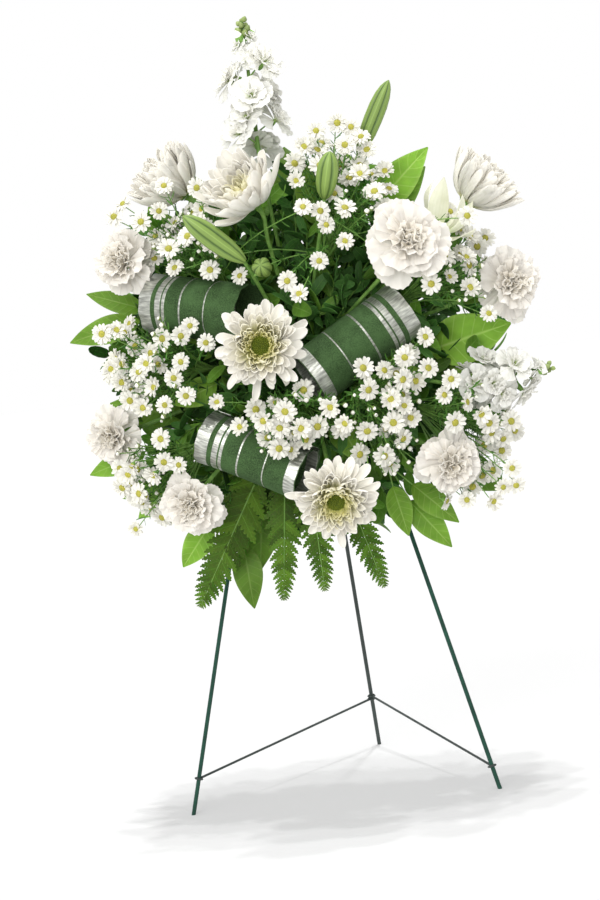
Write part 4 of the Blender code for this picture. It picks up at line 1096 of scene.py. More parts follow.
def mum_button(radius):
    """The granular button in the middle: a dome covered with small florets."""
    height, grains = 5, 96
    dome = round_stem(
        [Vector((0, 0, z * MM)) for z in (-14, -4, height - 4, height - 1.5, height - 0.4, height)],
        [share * radius for share in (0.5, 0.95, 1.0, 0.8, 0.45, 0.04)],
        16,
        finish("mum disc"),
    )
    grain = upright_shape(((-1.0, 0.8), (1.2, 1.15), (2.4, 0.95), (2.9, 0.3)), 6, finish("mum disc"))
    parts = [dome]
    for i in range(grains):
        share = math.sqrt((i + 0.5) / grains)
        angle = i * GOLDEN_ANGLE
        away = radius * share
        up = (height - 3.6 * share**2) * MM
        lean = Matrix.Rotation(angle, 4, "Z") @ Matrix.Rotation(0.5 * share, 4, "Y")
        spot = Matrix.Translation((away * math.cos(angle), away * math.sin(angle), up))
        parts.append(copy_of(grain, spot @ lean, 0.35 + 0.5 * share, 1.0))
    discard([grain])
    return joined("mum button", parts)


def mum_head(name, centre, axis, radius, cup, seed):
    """A mum's rounds of petals on its button and calyx; a full cup turns a little to the front."""
    rng = random.Random(seed)
    cupped, full_cup = cup > 0.5, cup > 0.9
    rounds = CUPPED_ROUNDS if cupped else OPEN_ROUNDS
    scale = radius / (CUPPED_MUM_RADIUS if cupped else OPEN_MUM_RADIUS) * MM
    axis = Vector(axis).normalized()
    back = facing_matrix(millimetres(centre), axis, seed)
    facing = (axis + VIEWER * (0.32 if full_cup else 0)).normalized()
    mouth = millimetres(centre) - axis * 10 * MM
    place = facing_matrix(mouth + facing * 10 * MM, facing, seed)
    parts = []
    for number, (count, root, height, length, width, slopes) in enumerate(rounds):
        share = number / (len(rounds) - 1)
        heart = share * (0.12 if full_cup else 1)
        outer = number < 2 and not cupped
        loose = 1.7 if outer else 1.0
        if cupped:
            length *= 1 - OPEN_HEART * share * (1 - cup)
            width *= 1 + 0.8 * (1 - cup)
        masters = []
        for _ in range(4):
            bend = rng.uniform(-10, 10) * loose
            shape = [slope + bend * (i - 0.5) for i, slope in enumerate(slopes)]
            masters.append(
                strap_petal(
                    length * scale,
                    width * scale,
                    shape,
                    finish("mum petal"),
                    sizes().petal_thickness,
                    cup=0.45 + 0.45 * share + rng.uniform(-0.15, 0.2),
                    neck=0.42,
                    grooves=0.25 * MM,
                    size=(6, 10) if cupped or number < 4 else (4, 7),
                )
            )
        for k in range(count):
            angle = 2 * math.pi * (k + 0.5 * (number % 2) + rng.uniform(-0.28, 0.28)) / count
            turn = Matrix.Rotation(angle, 4, "Z") @ Matrix.Translation((root * scale, 0, height * scale))
            tilt = Matrix.Rotation(math.radians(rng.gauss(0, 5) * loose), 4, "Y")
            roll = Matrix.Rotation(math.radians(rng.gauss(0, 14) * loose), 4, "X")
            shortest = 0.74 if outer else 0.86
            stretch = Matrix.Diagonal((rng.uniform(shortest, 1.04), rng.uniform(0.86, 1.12), 1, 1))
            petal = rng.choice(masters)
            parts.append(copy_of(petal, place @ turn @ tilt @ roll @ stretch, rng.random(), heart))
        discard(masters)
    button = mum_button(10 * radius / OPEN_MUM_RADIUS * MM)
    parts.append(plain_copy(button, place))
    discard([button])
    calyx = upright_shape(((-16, 5.5), (-15.5, 7.5), (-12, 9.5), (-8, 9.0)), 18, finish("stem"))
    parts.append(copy_of(calyx, back, 0.5))
    scale_leaf = strap_petal(11 * MM, 4.5 * MM, (30, 45, 55), finish("stem"), 0.5 * MM, neck=0.7, widest=0.3)
    for k in range(16):
        out = Matrix.Translation((6 * MM, 0, (-15.4 + (k % 2)) * MM))
        turn = Matrix.Rotation(2 * math.pi * k / 16, 4, "Z") @ out
        parts.append(copy_of(scale_leaf, back @ turn, rng.random()))
    discard([calyx, scale_leaf])
    finished(name + "_petals", parts, "petal", name + "_head")


class SPRAY_OT_mums(bpy.types.Operator):
    """Five disbud mums with strap petals in many rounds, and their stems"""

    bl_idname = "spray.mums"
    bl_label = "Mums"

    def execute(self, context):
        for name, numbers in MUMS.items():
            mum_head(name, *numbers)
            centre, axis = millimetres(numbers[0]), Vector(numbers[1]).normalized()
            base = centre - axis * (16 * MM + GAP)
            points = curved_stem(base - axis * 5 * MM, axis) + [base]
            stem_piece(name + "_stalk", points, [2.4, 2.4, 2.4, 2.4, 2.8, 6.5], name + "_stem")
        return {"FINISHED"}


# Carnations


def carnation_head(name, centre, axis, radius, seed):
    """A carnation's rounds of pleated fans, turned from its calyx half towards the front."""
    rng = random.Random(seed)
    scale = radius / CARNATION_RADIUS
    axis = Vector(axis).normalized()
    facing = (axis * 0.55 + VIEWER * 0.45).normalized()
    mouth = millimetres(centre) - axis * 12 * MM
    place = facing_matrix(mouth + facing * 12 * MM, facing, seed)
    parts = []
    for number, (count, height, reach, spread, slopes, ruffle) in enumerate(CARNATION_ROUNDS):
        heart = number / (len(CARNATION_ROUNDS) - 1)
        masters = [
            fan_petal(
                reach * scale * MM,
                spread,
                [slope + rng.uniform(-6, 6) for slope in slopes],
                ruffle * MM,
                finish("carnation petal"),
                0.35 * MM,
                rng,
                0.035,
            )
            for _ in range(4)
        ]
        for k in range(count):
            angle = 2 * math.pi * (k + 0.5 * (number % 2) + rng.uniform(-0.26, 0.26)) / count
            turn = Matrix.Rotation(angle, 4, "Z") @ Matrix.Translation((1.5 * MM, 0, height * scale * MM))
            tilt = Matrix.Rotation(math.radians(rng.gauss(0, 7)), 4, "Y")
            roll = Matrix.Rotation(math.radians(rng.gauss(0, 9)), 4, "X")
            size = Matrix.Scale(rng.uniform(0.76 if number < 2 else 0.84, 1.05), 4)
            parts.append(copy_of(rng.choice(masters), place @ turn @ tilt @ roll @ size, rng.random(), heart))
        discard(masters)
    finished(name + "_petals", parts, "petal", name + "_head")


def carnation_calyx(name, centre, axis):
    """The long green cup under a carnation, with its five points, on the stem."""
    base = centre - axis * (14 * MM + GAP)
    calyx = base - axis * 26 * MM
    points = curved_stem(calyx, axis, 30 * MM)
    path, radii = smooth_path(points[1:], [2.4 * MM] * 4, 4)
    stem = round_stem([points[0]] + path, [2.4 * MM] + radii, 12, finish("stem"))
    cup_path = [calyx - axis * MM + axis * 27 * MM * t for t in (0, 0.08, 0.25, 0.55, 0.85, 1.0)]
    cup = round_stem(cup_path, [r * MM for r in (2.0, 4.6, 6.2, 6.6, 6.9, 7.0)], 20, finish("stem"), 0.75)
    point = strap_petal(11 * MM, 7 * MM, (80, 86, 60), finish("stem"), 0.5 * MM, neck=0.95, widest=0.15)
    place = facing_matrix(base - axis * 5 * MM, axis)
    parts = [stem, cup]
    for k in range(5):
        turn = Matrix.Rotation(2 * math.pi * k / 5, 4, "Z") @ Matrix.Translation((6.6 * MM, 0, 0))
        parts.append(copy_of(point, place @ turn, 0.7))
    discard([point])
    finished(name + "_stalk", parts, "stem", name + "_stem")


class SPRAY_OT_carnations(bpy.types.Operator):
    """Six carnations with pleated, toothed petals, and their calyxes and stems"""

    bl_idname = "spray.carnations"
    bl_label = "Carnations"

    def execute(self, context):
        for name, numbers in CARNATIONS.items():
            carnation_head(name, *numbers)
            carnation_calyx(name, millimetres(numbers[0]), Vector(numbers[1]).normalized())
        return {"FINISHED"}


# Ribbon rolls


def ribbon_roll(name, end_a, end_b, radius, band_last, material):
    """A strip of wide ribbon rolled a little over one turn, its edges a little wavy."""
    end_a, end_b, radius = millimetres(end_a), millimetres(end_b), radius * MM
    axis = (end_b - end_a).normalized()
    inward = FOCUS - end_a.lerp(end_b, 0.5)
    inward = (inward - axis * inward.dot(axis)).normalized()
    around = axis.cross(inward)
    seed = len(name)

    def spot(u, v):
        across = (1 - u) / 2 if band_last else (1 + u) / 2
        angle = 2 * math.pi * (RIBBON_TURNS * (v - 1) + 0.1)
        size = radius - RIBBON_PITCH * (1 - v)
        edge = abs(2 * across - 1) ** 6
        sag = 0.5 * math.sin(5 * angle + seed + 4 * across)
        flutter = 0.9 * edge * math.sin(11 * angle + seed)
        size += (sag + flutter) * MM
        out = inward * math.cos(angle) + around * math.sin(angle)
        return end_a.lerp(end_b, across) + out * size

    roll = thin_sheet(28, 84, spot, sizes().ribbon_thickness, material)
    piece = finished(name + "_cloth", [roll], "ribbon", name)
    repaint(name + "_pick", finish("dyed wood"))


class SPRAY_OT_ribbons(bpy.types.Operator):
    """Three rolls of wide green ribbon with silver bands, on green picks"""

    bl_idname = "spray.ribbons"
    bl_label = "Ribbon rolls"

    def execute(self, context):
        plain = ribbon_finish("ribbon velvet", FOIL_LINES)
        edged = ribbon_finish("ribbon velvet with two foil edges", FOIL_LINES + (FAR_FOIL,))
        for name, numbers in RIBBONS.items():
            ribbon_roll(name, *numbers, plain if name == "ribbon_roll_left" else edged)
        return {"FINISHED"}


# Flower spikes


def stock_floret(radius, rng):
    """A double floret facing up: five broad ruffled petals, then smaller ones inside."""
    parts = []
    rounds = ((5, 1.32, (26, 12, -16), 0), (5, 1.02, (46, 36, 10), 1), (3, 0.64, (70, 74, 66), 2))
    for count, reach, slopes, height in rounds:
        for k in range(count):
            shape = [slope + rng.uniform(-8, 8) for slope in slopes]
            petal = fan_petal(
                reach * radius, 38, shape, MM, finish("floret petal"), 0.35 * MM, rng, 0.02, (12, 6)
            )
            angle = 2 * math.pi * (k + 0.5 * (height % 2) + rng.uniform(-0.15, 0.15)) / count
            tilt = Matrix.Rotation(math.radians(rng.gauss(0, 9)), 4, "Y")
            turn = Matrix.Rotation(angle, 4, "Z") @ Matrix.Translation((0.6 * MM, 0, height * MM))
            parts.append(copy_of(petal, turn @ tilt, rng.random(), height / 2))
            discard([petal])
    heart = upright_shape(((1, 1.6), (4, 2.2), (6.5, 1.8), (8, 0.2)), 8, finish("bud"), 0.8)
    cup_rings = ((-12, 1.1), (-11, 2.4), (-7, 3.4), (-2, 3.0), (1, 2.0))
    cup = upright_shape(cup_rings, 8, finish("stem"), 0.8)
    return joined("stock floret", parts + [heart, cup])


def closed_bud(length, radius, finish_name, tip_finish=None):
    """A small four-sided bud standing on the origin, its tip in a finish of its own if one is given."""
    profile = ((0, 0.25), (0.12, 0.75), (0.35, 1.0), (0.6, 0.92), (0.85, 0.5), (1.0, 0.08))
    bud = round_stem(
        [Vector((0, 0, length * share)) for share, _ in profile],
        [radius * swell for _, swell in profile],
        8,
        finish(finish_name),
        0.7,
        flute=lambda angle, _: 1 + 0.06 * math.cos(4 * angle),
    )
    if tip_finish:
        bud.data.materials.append(finish(tip_finish))
        for face in bud.data.polygons:
            if face.center.z > 0.62 * length:
                face.material_index = 1
    return bud


def flower_spike(name, base, tip, radius, florets, buds, seed):
    """A stem with large florets, smaller ones between them and up to the tip, and buds."""
    rng = random.Random(seed)
    base, tip, radius = millimetres(base), millimetres(tip), radius * MM
    start = stem_start(base)
    axis = (tip - base).normalized()
    radii = [2.4 * MM, 2.6 * MM, 2.4 * MM, 1.0 * MM]
    path, radii = smooth_path([knee_below(base), base, base.lerp(tip, 0.5), tip], radii, 5)
    parts = [round_stem([start] + path, [2.2 * MM] + radii, 10, finish("stem"))]
    across = side_of(axis)
    other = axis.cross(across)
    length = (tip - base).length
    masters = [stock_floret(radius, rng) for _ in range(3)]
    with_small = florets + florets // 2
    for i in range(with_small + TIP_FLORETS):
        angle = i * GOLDEN_ANGLE
        out = across * math.cos(angle) + other * math.sin(angle)
        facing = (out + axis * 0.6 + VIEWER * 0.55).normalized()
        if i < florets:
            share, size, away, near = i / florets, 1.0, 1.1, 0
        elif i < with_small:
            share, size, away, near = (i - florets + 0.3) * 2 / florets, 0.8, 0.7, 9 * MM
        else:
            higher = i - with_small
            share, size, away, near = 1.02 + 0.085 * higher, 0.66 - 0.09 * higher, 0.55 - 0.06 * higher, 0
        root = base + axis * length * SPIKE_FLORET_PART * share
        spot = root + (out + axis * 0.5) * radius * away + VIEWER * near
        stalk = [root, root.lerp(spot, 0.5) + axis * 1.5 * MM, spot - facing * 6 * MM]
        stalk = smooth_path(stalk, [1.1 * MM, 0.9 * MM, 1.0 * MM], 3)
        parts.append(round_stem(*stalk, 6, finish("stem"), 0.9))
        parts.append(plain_copy(masters[i % 3], facing_matrix(spot, facing, i) @ Matrix.Scale(size, 4)))
    discard(masters)
    half_open = closed_bud(15 * MM, 4.2 * MM, "stem", "floret petal")
    green = closed_bud(8.5 * MM, 4.0 * MM, "bud")
    for i in range(2 * buds):
        angle = (florets + i) * GOLDEN_ANGLE
        share = 0.76 + 0.04 * i if i < 3 else 0.84 + 0.14 * (i - 3) / (2 * buds - 4)
        out = (across * math.cos(angle) + other * math.sin(angle) + axis * (0.3 + share)).normalized()
        size = (1.15 - 0.4 * i / (2 * buds)) * rng.uniform(0.9, 1.1)
        root = base + axis * length * share
        neck = root + out * 5 * MM * size
        parts.append(round_stem([root, neck + out * MM], [0.7 * MM, 0.7 * MM], 5, finish("stem")))
        master = half_open if i < 3 else green
        place = facing_matrix(neck, out, i) @ Matrix.Scale(size, 4)
        parts.append(copy_of(master, place, rng.uniform(0.4, 1)))
    discard([half_open, green])
    finished(name + "_flowers", parts, "spray", name)


class SPRAY_OT_flower_spikes(bpy.types.Operator):
    """Two spikes of ruffled florets with green buds at the tip"""

    bl_idname = "spray.flower_spikes"
    bl_label = "Flower spikes"

    def execute(self, context):
        for name, numbers in SPIKES.items():
            flower_spike(name, *numbers)
        return {"FINISHED"}


# Lilies


def lily_bud(base, tip, radius, rng):
    """A closed lily bud with six long ridges."""
    profile = ((0, 0.24), (0.04, 0.42), (0.14, 0.72), (0.30, 0.93), (0.48, 1.0), (0.66, 0.98), (0.80, 0.84))
    profile += ((0.90, 0.60), (0.96, 0.34), (1.0, 0.06))
    bow = side_of((tip - base).normalized()) * (tip - base).length * 0.03
    points = [base.lerp(tip, share) + bow * math.sin(math.pi * share) for share, _ in profile]

    def flute(angle, _):
        ridge = abs(math.cos(3 * angle))
        return 0.86 + 0.14 * ridge**0.5 + 0.03 * math.cos(3 * angle)

    radii = [radius * 0.92 * swell for _, swell in profile]
    return round_stem(points, radii, 48, finish("lily bud"), rng.uniform(0.4, 0.8), flute=flute)


class SPRAY_OT_lilies(bpy.types.Operator):
    """Closed lily buds on their stalks, and one half-open lily"""

    bl_idname = "spray.lilies"
    bl_label = "Lilies"

    def execute(self, context):
        rng = random.Random(51)
        for name, buds in LILY_BUDS.items():
            first_base = millimetres(buds[0][0])
            knee = knee_below(first_base)
            end = knee + (first_base - FOCUS).normalized() * 3 * MM
            parts = [round_stem([stem_start(first_base), end], [2.3 * MM] * 2, 12, finish("stem"))]
            for base, tip, radius in buds:
                base, tip = millimetres(base), millimetres(tip)
                axis = (tip - base).normalized()
                parts.append(lily_bud(base, tip, radius * MM, rng))
                points = [knee, knee.lerp(base, 0.6), base + axis * 4 * MM]
                stalk = smooth_path(points, [1.8 * MM, 2.0 * MM, 2.4 * MM], 5)
                parts.append(round_stem(*stalk, 12, finish("stem"), 0.7))
            finished(name + "_buds", parts, "bud", name)
        self.open_lily(rng)
        return {"FINISHED"}

    def open_lily(self, rng):
        start = stem_start(LILY_BASE)
        throat = LILY_BASE + LILY_AXIS * 14 * MM
        points = [knee_below(LILY_BASE), LILY_BASE, throat]
        path, radii = smooth_path(points, [2.3 * MM, 4 * MM, 6.5 * MM], 5)
        parts = [round_stem([start] + path, [2.3 * MM] + radii, 14, finish("stem"), 0.8)]
        for tip in LILY_TIPS:
            tip = millimetres(tip)
            outward = tip - LILY_BASE
            outward = (outward - LILY_AXIS * outward.dot(LILY_AXIS)).normalized()
            base = LILY_BASE + LILY_AXIS * 8 * MM + outward * 4 * MM
            face = (LILY_AXIS - outward).normalized()
            parts.append(
                broad_leaf(base, tip, 24 * MM, face, "lily petal", rng, arch=-0.10, fold=-0.2, peak=0.95)
            )
        finished("lily_open_petals", parts, "petal", "lily_open")


# Broad leaves


def broad_leaf(
    base, tip, width, face, finish_name, rng, arch=0.10, fold=0.12, peak=0.75, tone=None, size=(10, 16)
):
    """A pointed leaf from base to tip, arched along its length and folded at its midrib."""
    along = tip - base
    length = along.length
    along.normalize()
    across = along.cross(face).normalized()
    normal = across.cross(along)
    phase, twist = rng.uniform(0, 6.3), rng.uniform(-0.12, 0.12)

    def spot(u, v):
        half = width / 2 * max(math.sin(math.pi * v**peak) ** 0.85, 0.035)
        middle = base + along * length * v + normal * (arch * length * 4 * v * (1 - v))
        ripple = 0.035 * width * math.sin(11 * v + phase + (2 if u > 0 else 0)) * abs(u) ** 2
        lift = fold * half * abs(u) + ripple + twist * half * u * v
        return middle + across * (u * half) + normal * lift

    tone = rng.random() if tone is None else tone
    return thin_sheet(*size, spot, sizes().leaf_thickness, finish(finish_name), tone)


class SPRAY_OT_leafy_stems(bpy.types.Operator):
    """Five stems with broad veined leaves"""

    bl_idname = "spray.leafy_stems"
    bl_label = "Leafy stems"

    def execute(self, context):
        for seed, (name, (end, leaves)) in enumerate(LEAFY_STEMS.items()):
            rng = random.Random(60 + seed)
            end = millimetres(end)
            start = stem_start(end)
            radii = [2.2 * MM, 2.0 * MM, 1.6 * MM]
            parts = [round_stem([start, start.lerp(end, 0.5), end], radii, 10, finish("stem"))]
            # Each leaf's brightness goes on as its tone: partly its own, partly painted shade
            for root, base, tip, width, tone in leaf_places(end, leaves):
                parts.append(
                    broad_leaf(base, tip, width, VIEWER, "broad leaf", rng, tone=tone, size=(12, 20))
                )
                stalk = [root, root.lerp(base, 0.5), base + (tip - base) * 0.06]
                stalk = smooth_path(stalk, [1.1 * MM, 0.9 * MM, 0.8 * MM], 3)
                parts.append(round_stem(*stalk, 7, finish("stem"), 0.7))
            finished(name + "_leaves", parts, "leaf", name)
        return {"FINISHED"}


# Ferns


def fern_leaflet(rng):
    """A side blade of unit length along +X, cut into slanted round lobes, for copying at many sizes."""
    droop = rng.uniform(-0.12, -0.05)
    rows = len(LOBE_WIDTHS) * LEAFLET_LOBES

    def spot(u, v):
        row = round(v * rows)
        outline = 0.27 * (1 - v) ** 0.7 * min(1, 0.9 + v) + 0.012
        half = outline * LOBE_WIDTHS[(row + 2) % len(LOBE_WIDTHS)]
        ahead = v * 0.97 - 0.03 + 0.55 * half * abs(u) ** 1.2
        return Vector((ahead, -u * half, droop * v * v - 0.10 * half * abs(u)))

    return thin_sheet(4, rows, spot, 0.012, finish("fern leaf"))


class SPRAY_OT_ferns(bpy.types.Operator):
    """Four fern fronds that hang below the flowers"""

    bl_idname = "spray.ferns"
    bl_label = "Ferns"

    def execute(self, context):
        rng = random.Random(71)
        masters = [fern_leaflet(rng) for _ in range(4)]
        for name, (base, tip, half_width, pairs, droop) in FERNS.items():
            base, tip = millimetres(base), millimetres(tip)
            start = stem_start(base)

            def curve(t):
                return base.lerp(tip, t) + VIEWER * droop * MM * 4 * max(t, 0) * (1 - t)

            rib = [start] + [curve(i / 14) for i in range(15)]
            radii = [1.1 * MM] + [(1.1 - 0.8 * i / 14) * MM for i in range(15)]
            parts = [round_stem(rib, radii, 6, finish("stem"), 0.3)]
            count = pairs + 5
            for i in range(count):
                share = (i + 0.5) / count
                t = 1 - (1 - share) ** 1.6
                ahead = (curve(min(t + 0.05, 1.0)) - curve(t)).normalized()
                across = ahead.cross(VIEWER).normalized()
                reach = 0.9 * half_width * MM * min(1, 0.7 + 3 * share) * (1 - share) ** 0.75
                for sign in (-1, 1):
                    lean = rng.uniform(0.62, 0.82)
                    out = (across * sign * 0.82 + ahead * lean).normalized()
                    normal = VIEWER + ahead * rng.uniform(-0.2, 0.2)
                    normal = (normal + across * sign * rng.uniform(0, 0.3)).normalized()
                    side = normal.cross(out).normalized()
                    normal = out.cross(side)
                    turn = Matrix((out, side, normal)).transposed().to_4x4()
                    size = reach * rng.uniform(0.93, 1.06)
                    matrix = Matrix.Translation(curve(t)) @ turn @ Matrix.Scale(size, 4)
                    parts.append(copy_of(rng.choice(masters), matrix, rng.random()))
            finished(name + "_frond", parts, "fern", name)
        discard(masters)
        return {"FINISHED"}


# Asters


def aster_head(variant, radius):
    """A small daisy facing up: two rounds of narrow petals, a domed button and a green cup.

    The petals of the last of the four variants stand higher, as in a head that is still opening.
    """
    rng = random.Random(80 + variant)
    opening = 22 if variant == 3 else 0
    parts = []
    count = 13 + variant % 3
    for number, (share, slopes) in enumerate(((1.0, (12, 4, -12)), (0.92, (26, 16, 4)))):
        petal = strap_petal(
            (radius - 2.6 * MM) * share,
            4.4 * MM,
            slopes,
            finish("aster petal"),
            0.35 * MM,
            cup=0.3,
            neck=0.55,
            widest=0.7,
            size=(2, 5),
        )
        amount = count if number == 0 else count - 3
        for k in range(amount):
            angle = 2 * math.pi * (k + 0.5 * number + rng.uniform(-0.25, 0.25)) / amount
            out = Matrix.Translation((2.6 * MM, 0, (number * 0.7 - 0.3) * MM))
            turn = Matrix.Rotation(angle, 4, "Z") @ out
            tilt = Matrix.Rotation(math.radians(rng.gauss(0, 8) - opening), 4, "Y")
            roll = Matrix.Rotation(math.radians(rng.gauss(0, 12)), 4, "X")
            stretch = Matrix.Diagonal((rng.uniform(0.88, 1.04), rng.uniform(0.88, 1.1), 1, 1))
            parts.append(copy_of(petal, turn @ tilt @ roll @ stretch, rng.random(), 0.3))
        discard([petal])
    button = upright_shape(
        ((-1.0, 3.5), (1.2, 4.4), (2.4, 3.7), (3.1, 2.1), (3.5, 0.2)),
        12,
        finish("aster disc"),
        0.5 + 0.12 * variant,
        flute=lambda angle, share: 1 + 0.06 * math.cos(6 * angle + 9 * share),
    )
    cup = upright_shape(((-9, 0.7), (-6.2, 1.0), (-3.4, 3.0), (-1.0, 3.6)), 8, finish("stem"), 0.8)
    return joined("aster head", parts + [button, cup])


def needle_sprig(rng):
    """Needle leaves all round a stretch of stalk along +X, for copying along a branch."""
    needle = strap_petal(
        12 * MM,
        2.0 * MM,
        (30, 20, 5),
        finish("needle leaf"),
        0.35 * MM,
        cup=0.3,
        neck=0.5,
        widest=0.4,
        size=(2, 3),
    )
    parts = []
    for i in range(7):
        spin = Matrix.Rotation(i * GOLDEN_ANGLE, 4, "X")
        spot = Matrix.Translation((i * 3.4 * MM, 0, 0))
        lean = Matrix.Rotation(math.radians(-rng.uniform(20, 50)), 4, "Y")
        size = Matrix.Scale(rng.uniform(0.7, 1.15), 4)
        parts.append(copy_of(needle, spot @ spin @ lean @ size, rng.random()))
    discard([needle])
    return joined("needle sprig", parts)


def along_matrix(spot, direction, spin):
    """What lays a shape modelled along +X in a direction."""
    turn = direction.to_track_quat("X", "Z").to_matrix().to_4x4()
    return Matrix.Translation(spot) @ turn @ Matrix.Rotation(spin, 4, "X")


def branch(root, foot, outward, rng, radius=0.75 * MM):
    """A thin bowed stalk, and the points that it runs through."""
    bow = outward * rng.uniform(0.02, 0.10) + side_of(outward) * rng.uniform(-0.06, 0.06)
    bow = bow * (foot - root).length
    points = [root, root.lerp(foot, 0.35) + bow, root.lerp(foot, 0.7) + bow * 0.8, foot]
    path, radii = smooth_path(points, [radius * 1.25, radius, radius * 0.9, radius * 0.8], 3)
    return round_stem(path, radii, 5, finish("stem"), rng.uniform(0.2, 0.8)), path


class SPRAY_OT_asters(bpy.types.Operator):
    """Eight branching sprays of small asters, with buds and needle leaves"""

    bl_idname = "spray.asters"
    bl_label = "Asters"

    def execute(self, context):
        places, taken, blocks = aster_places()
        rng = random.Random(90)
        heads = [aster_head(variant, sizes().aster_radius) for variant in range(4)]
        sprigs = [needle_sprig(rng) for _ in range(3)]
        bud = closed_bud(7 * MM, 3.0 * MM, "bud", "aster petal")
        seen = seen_asters(places, taken, blocks, rng)
        for name, (fork, outward, first) in places.items():
            count = ASTERS[name][3]
            start = stem_start(fork)
            tip = fork + outward * 36 * MM
            parts = [round_stem([start, fork, tip], [1.9 * MM, 1.7 * MM, 1.2 * MM], 10, finish("stem"))]
            second = more_asters(name, taken, blocks, (count + 1) // 2, 19 * MM, 11 * MM, rng)
            closed = more_asters(name, taken, blocks, 2 * count, 10 * MM, 5 * MM, rng)
            for number, (root, spot, facing) in enumerate(first + seen[name] + second):
                size = 1.0 if number < len(first) else rng.uniform(0.78, 0.96)
                matrix = facing_matrix(spot, facing, number) @ Matrix.Scale(size, 4)
                parts.append(plain_copy(rng.choice(heads), matrix))
                self.stalk(parts, sprigs, root, spot - facing * 8.6 * MM * size, outward, rng)
            for root, spot, facing in closed:
                size = rng.uniform(0.7, 1.1)
                matrix = facing_matrix(spot - facing * 5 * MM, facing) @ Matrix.Scale(size, 4)
                parts.append(copy_of(bud, matrix, rng.uniform(0.3, 0.9)))
                self.stalk(parts, sprigs, root, spot - facing * 4.6 * MM, outward, rng)
            finished(name + "_heads", parts, "spray", name)
        discard(heads + sprigs + [bud])
        return {"FINISHED"}

    def stalk(self, parts, sprigs, root, foot, outward, rng):
        """Add a stalk from the spray's stem to a head or bud, with two tufts of needle leaves."""
        stalk, path = branch(root, foot, outward, rng)
        parts.append(stalk)
        for share in (0.45, 0.72):
            i = int(share * (len(path) - 1))
            direction = (path[i + 1] - path[i]).normalized()
            parts.append(plain_copy(rng.choice(sprigs), along_matrix(path[i], direction, rng.uniform(0, 6))))


# Inner greenery


class SPRAY_OT_inner_greenery(bpy.types.Operator):
    """Dark sprigs between the flowers that hide the foam, most of their leaves darkened as painted shade for
    the gaps between the flowers
    """

    bl_idname = "spray.inner_greenery"
    bl_label = "Inner greenery"

    def execute(self, context):
        rng = random.Random(101)
        blocks = bloom_blocks()
        dark = strap_petal(
            34 * MM,
            14 * MM,
            (12, 4, -14),
            finish("dark leaf with painted shade"),
            0.5 * MM,
            cup=0.12,
            neck=0.15,
            widest=0.45,
            size=(2, 5),
        )
        young = strap_petal(
            40 * MM,
            19 * MM,
            (14, 2, -16),
            finish("young leaf"),
            0.5 * MM,
            cup=0.2,
            neck=0.15,
            widest=0.45,
            size=(4, 8),
        )
        groups = {"front": [], "left": [], "right": []}
        for i in range(SPRIG_DIRECTIONS):
            height = 1 - 2 * (i + 0.5) / SPRIG_DIRECTIONS
            angle = i * GOLDEN_ANGLE
            flat = math.sqrt(1 - height * height)
            in_front = height > FRONT_SHARE
            direction = PLANE_AXES[0] * math.cos(angle) * flat + LEAN * math.sin(angle) * flat
            direction = direction + OUTWARD * height
            if height * foam_exit(direction) < TRAY_COVER - FOAM_SIZE.y / 2:
                continue
            tall = SPRIG_HIGH if direction.z > 0 else SPRIG_LOW
            shares = (direction.x / SPRIG_WIDE, direction.z / tall, direction.y / SPRIG_DEEP)
            reach = 1 / math.sqrt(sum(share**2 for share in shares))
            reach *= rng.uniform(0.80, 1.0)
            inside = foam_exit(direction) - 12 * MM
            start, end = FOCUS + direction * inside, FOCUS + direction * reach
            clear = [p for p in steps_between(start, end, 12) if not touches([p], blocks, 2 * MM)]
            if len(clear) < 4 or reach < inside + 25 * MM:
                continue
            end = clear[-1]
            side = "right" if direction.x > 0 else "left"
            stem, path = branch(start, end, direction, rng, 1.0 * MM)
            parts = [stem]
            steps = int((end - start).length / (6.5 * MM))
            for k in range(1, steps + 1):
                spot = on_path(path, k / steps)
                out = Matrix.Rotation(k * GOLDEN_ANGLE, 3, direction) @ side_of(direction)
                out = (out + direction * rng.uniform(0.5, 1.1)).normalized()
                size = rng.uniform(0.75, 1.15)
                tip = spot + out * 32 * MM * size
                if touches((spot, tip, spot.lerp(tip, 0.5)), blocks, 3 * MM):
                    continue
                matrix = along_matrix(spot, out, rng.uniform(0, 6)) @ Matrix.Scale(size, 4)
                # Most front sprigs take the dark leaf, painted shade for the shadowed gaps between the
                # flowers; the sides take more young leaves
                leaf = young if rng.random() < (0.14 if in_front else 0.45) else dark
                parts.append(copy_of(leaf, matrix, rng.random()))
            groups["front" if in_front else side].append(joined("sprig", parts))
        discard([dark, young])
        for name, parts in groups.items():
            finished("inner_greenery_" + name, parts, "leaf")
        return {"FINISHED"}


def on_path(path, share):
    """The point at a share of the way along a path."""
    place = share * (len(path) - 1)
    k = min(int(place), len(path) - 2)
    return path[k].lerp(path[k + 1], place - k)


# Easel, foam and tray


class SPRAY_OT_easel(bpy.types.Operator):
    """The painted wire easel, the tray that hangs on it and the wet foam in the tray"""

    bl_idname = "spray.easel"
    bl_label = "Wire easel"

    def execute(self, context):
        green = tuple(colours().wire_green)
        light = [v * 1.8 for v in green]
        paint = coated_finish("easel paint", green, light, 0.45, 60, 0.08 * MM, Specular_IOR_Level=0.25)
        # Painted shade: the back leg and the braces, which stand behind and under the spray, get a darker,
        # greyer paint than the front legs
        dull, grey = (0.018, 0.028, 0.025), (0.04, 0.055, 0.05)
        shaded = coated_finish("worn easel paint", dull, grey, 0.5, 60, 0.08 * MM)
        plastic = coated_finish("tray plastic", (0.02, 0.09, 0.04), (0.03, 0.12, 0.06), 0.34, 40, 0.1 * MM)
        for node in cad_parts:
            if node.startswith(("leg_back", "brace_")):
                repaint(node, shaded)
            elif node.startswith(("leg_", "cross_bar", "apex_clip")):
                repaint(node, paint)
        repaint("foam_tray", plastic)
        repaint("foam_block", foam_finish("wet foam"))
        return {"FINISHED"}


# Stage


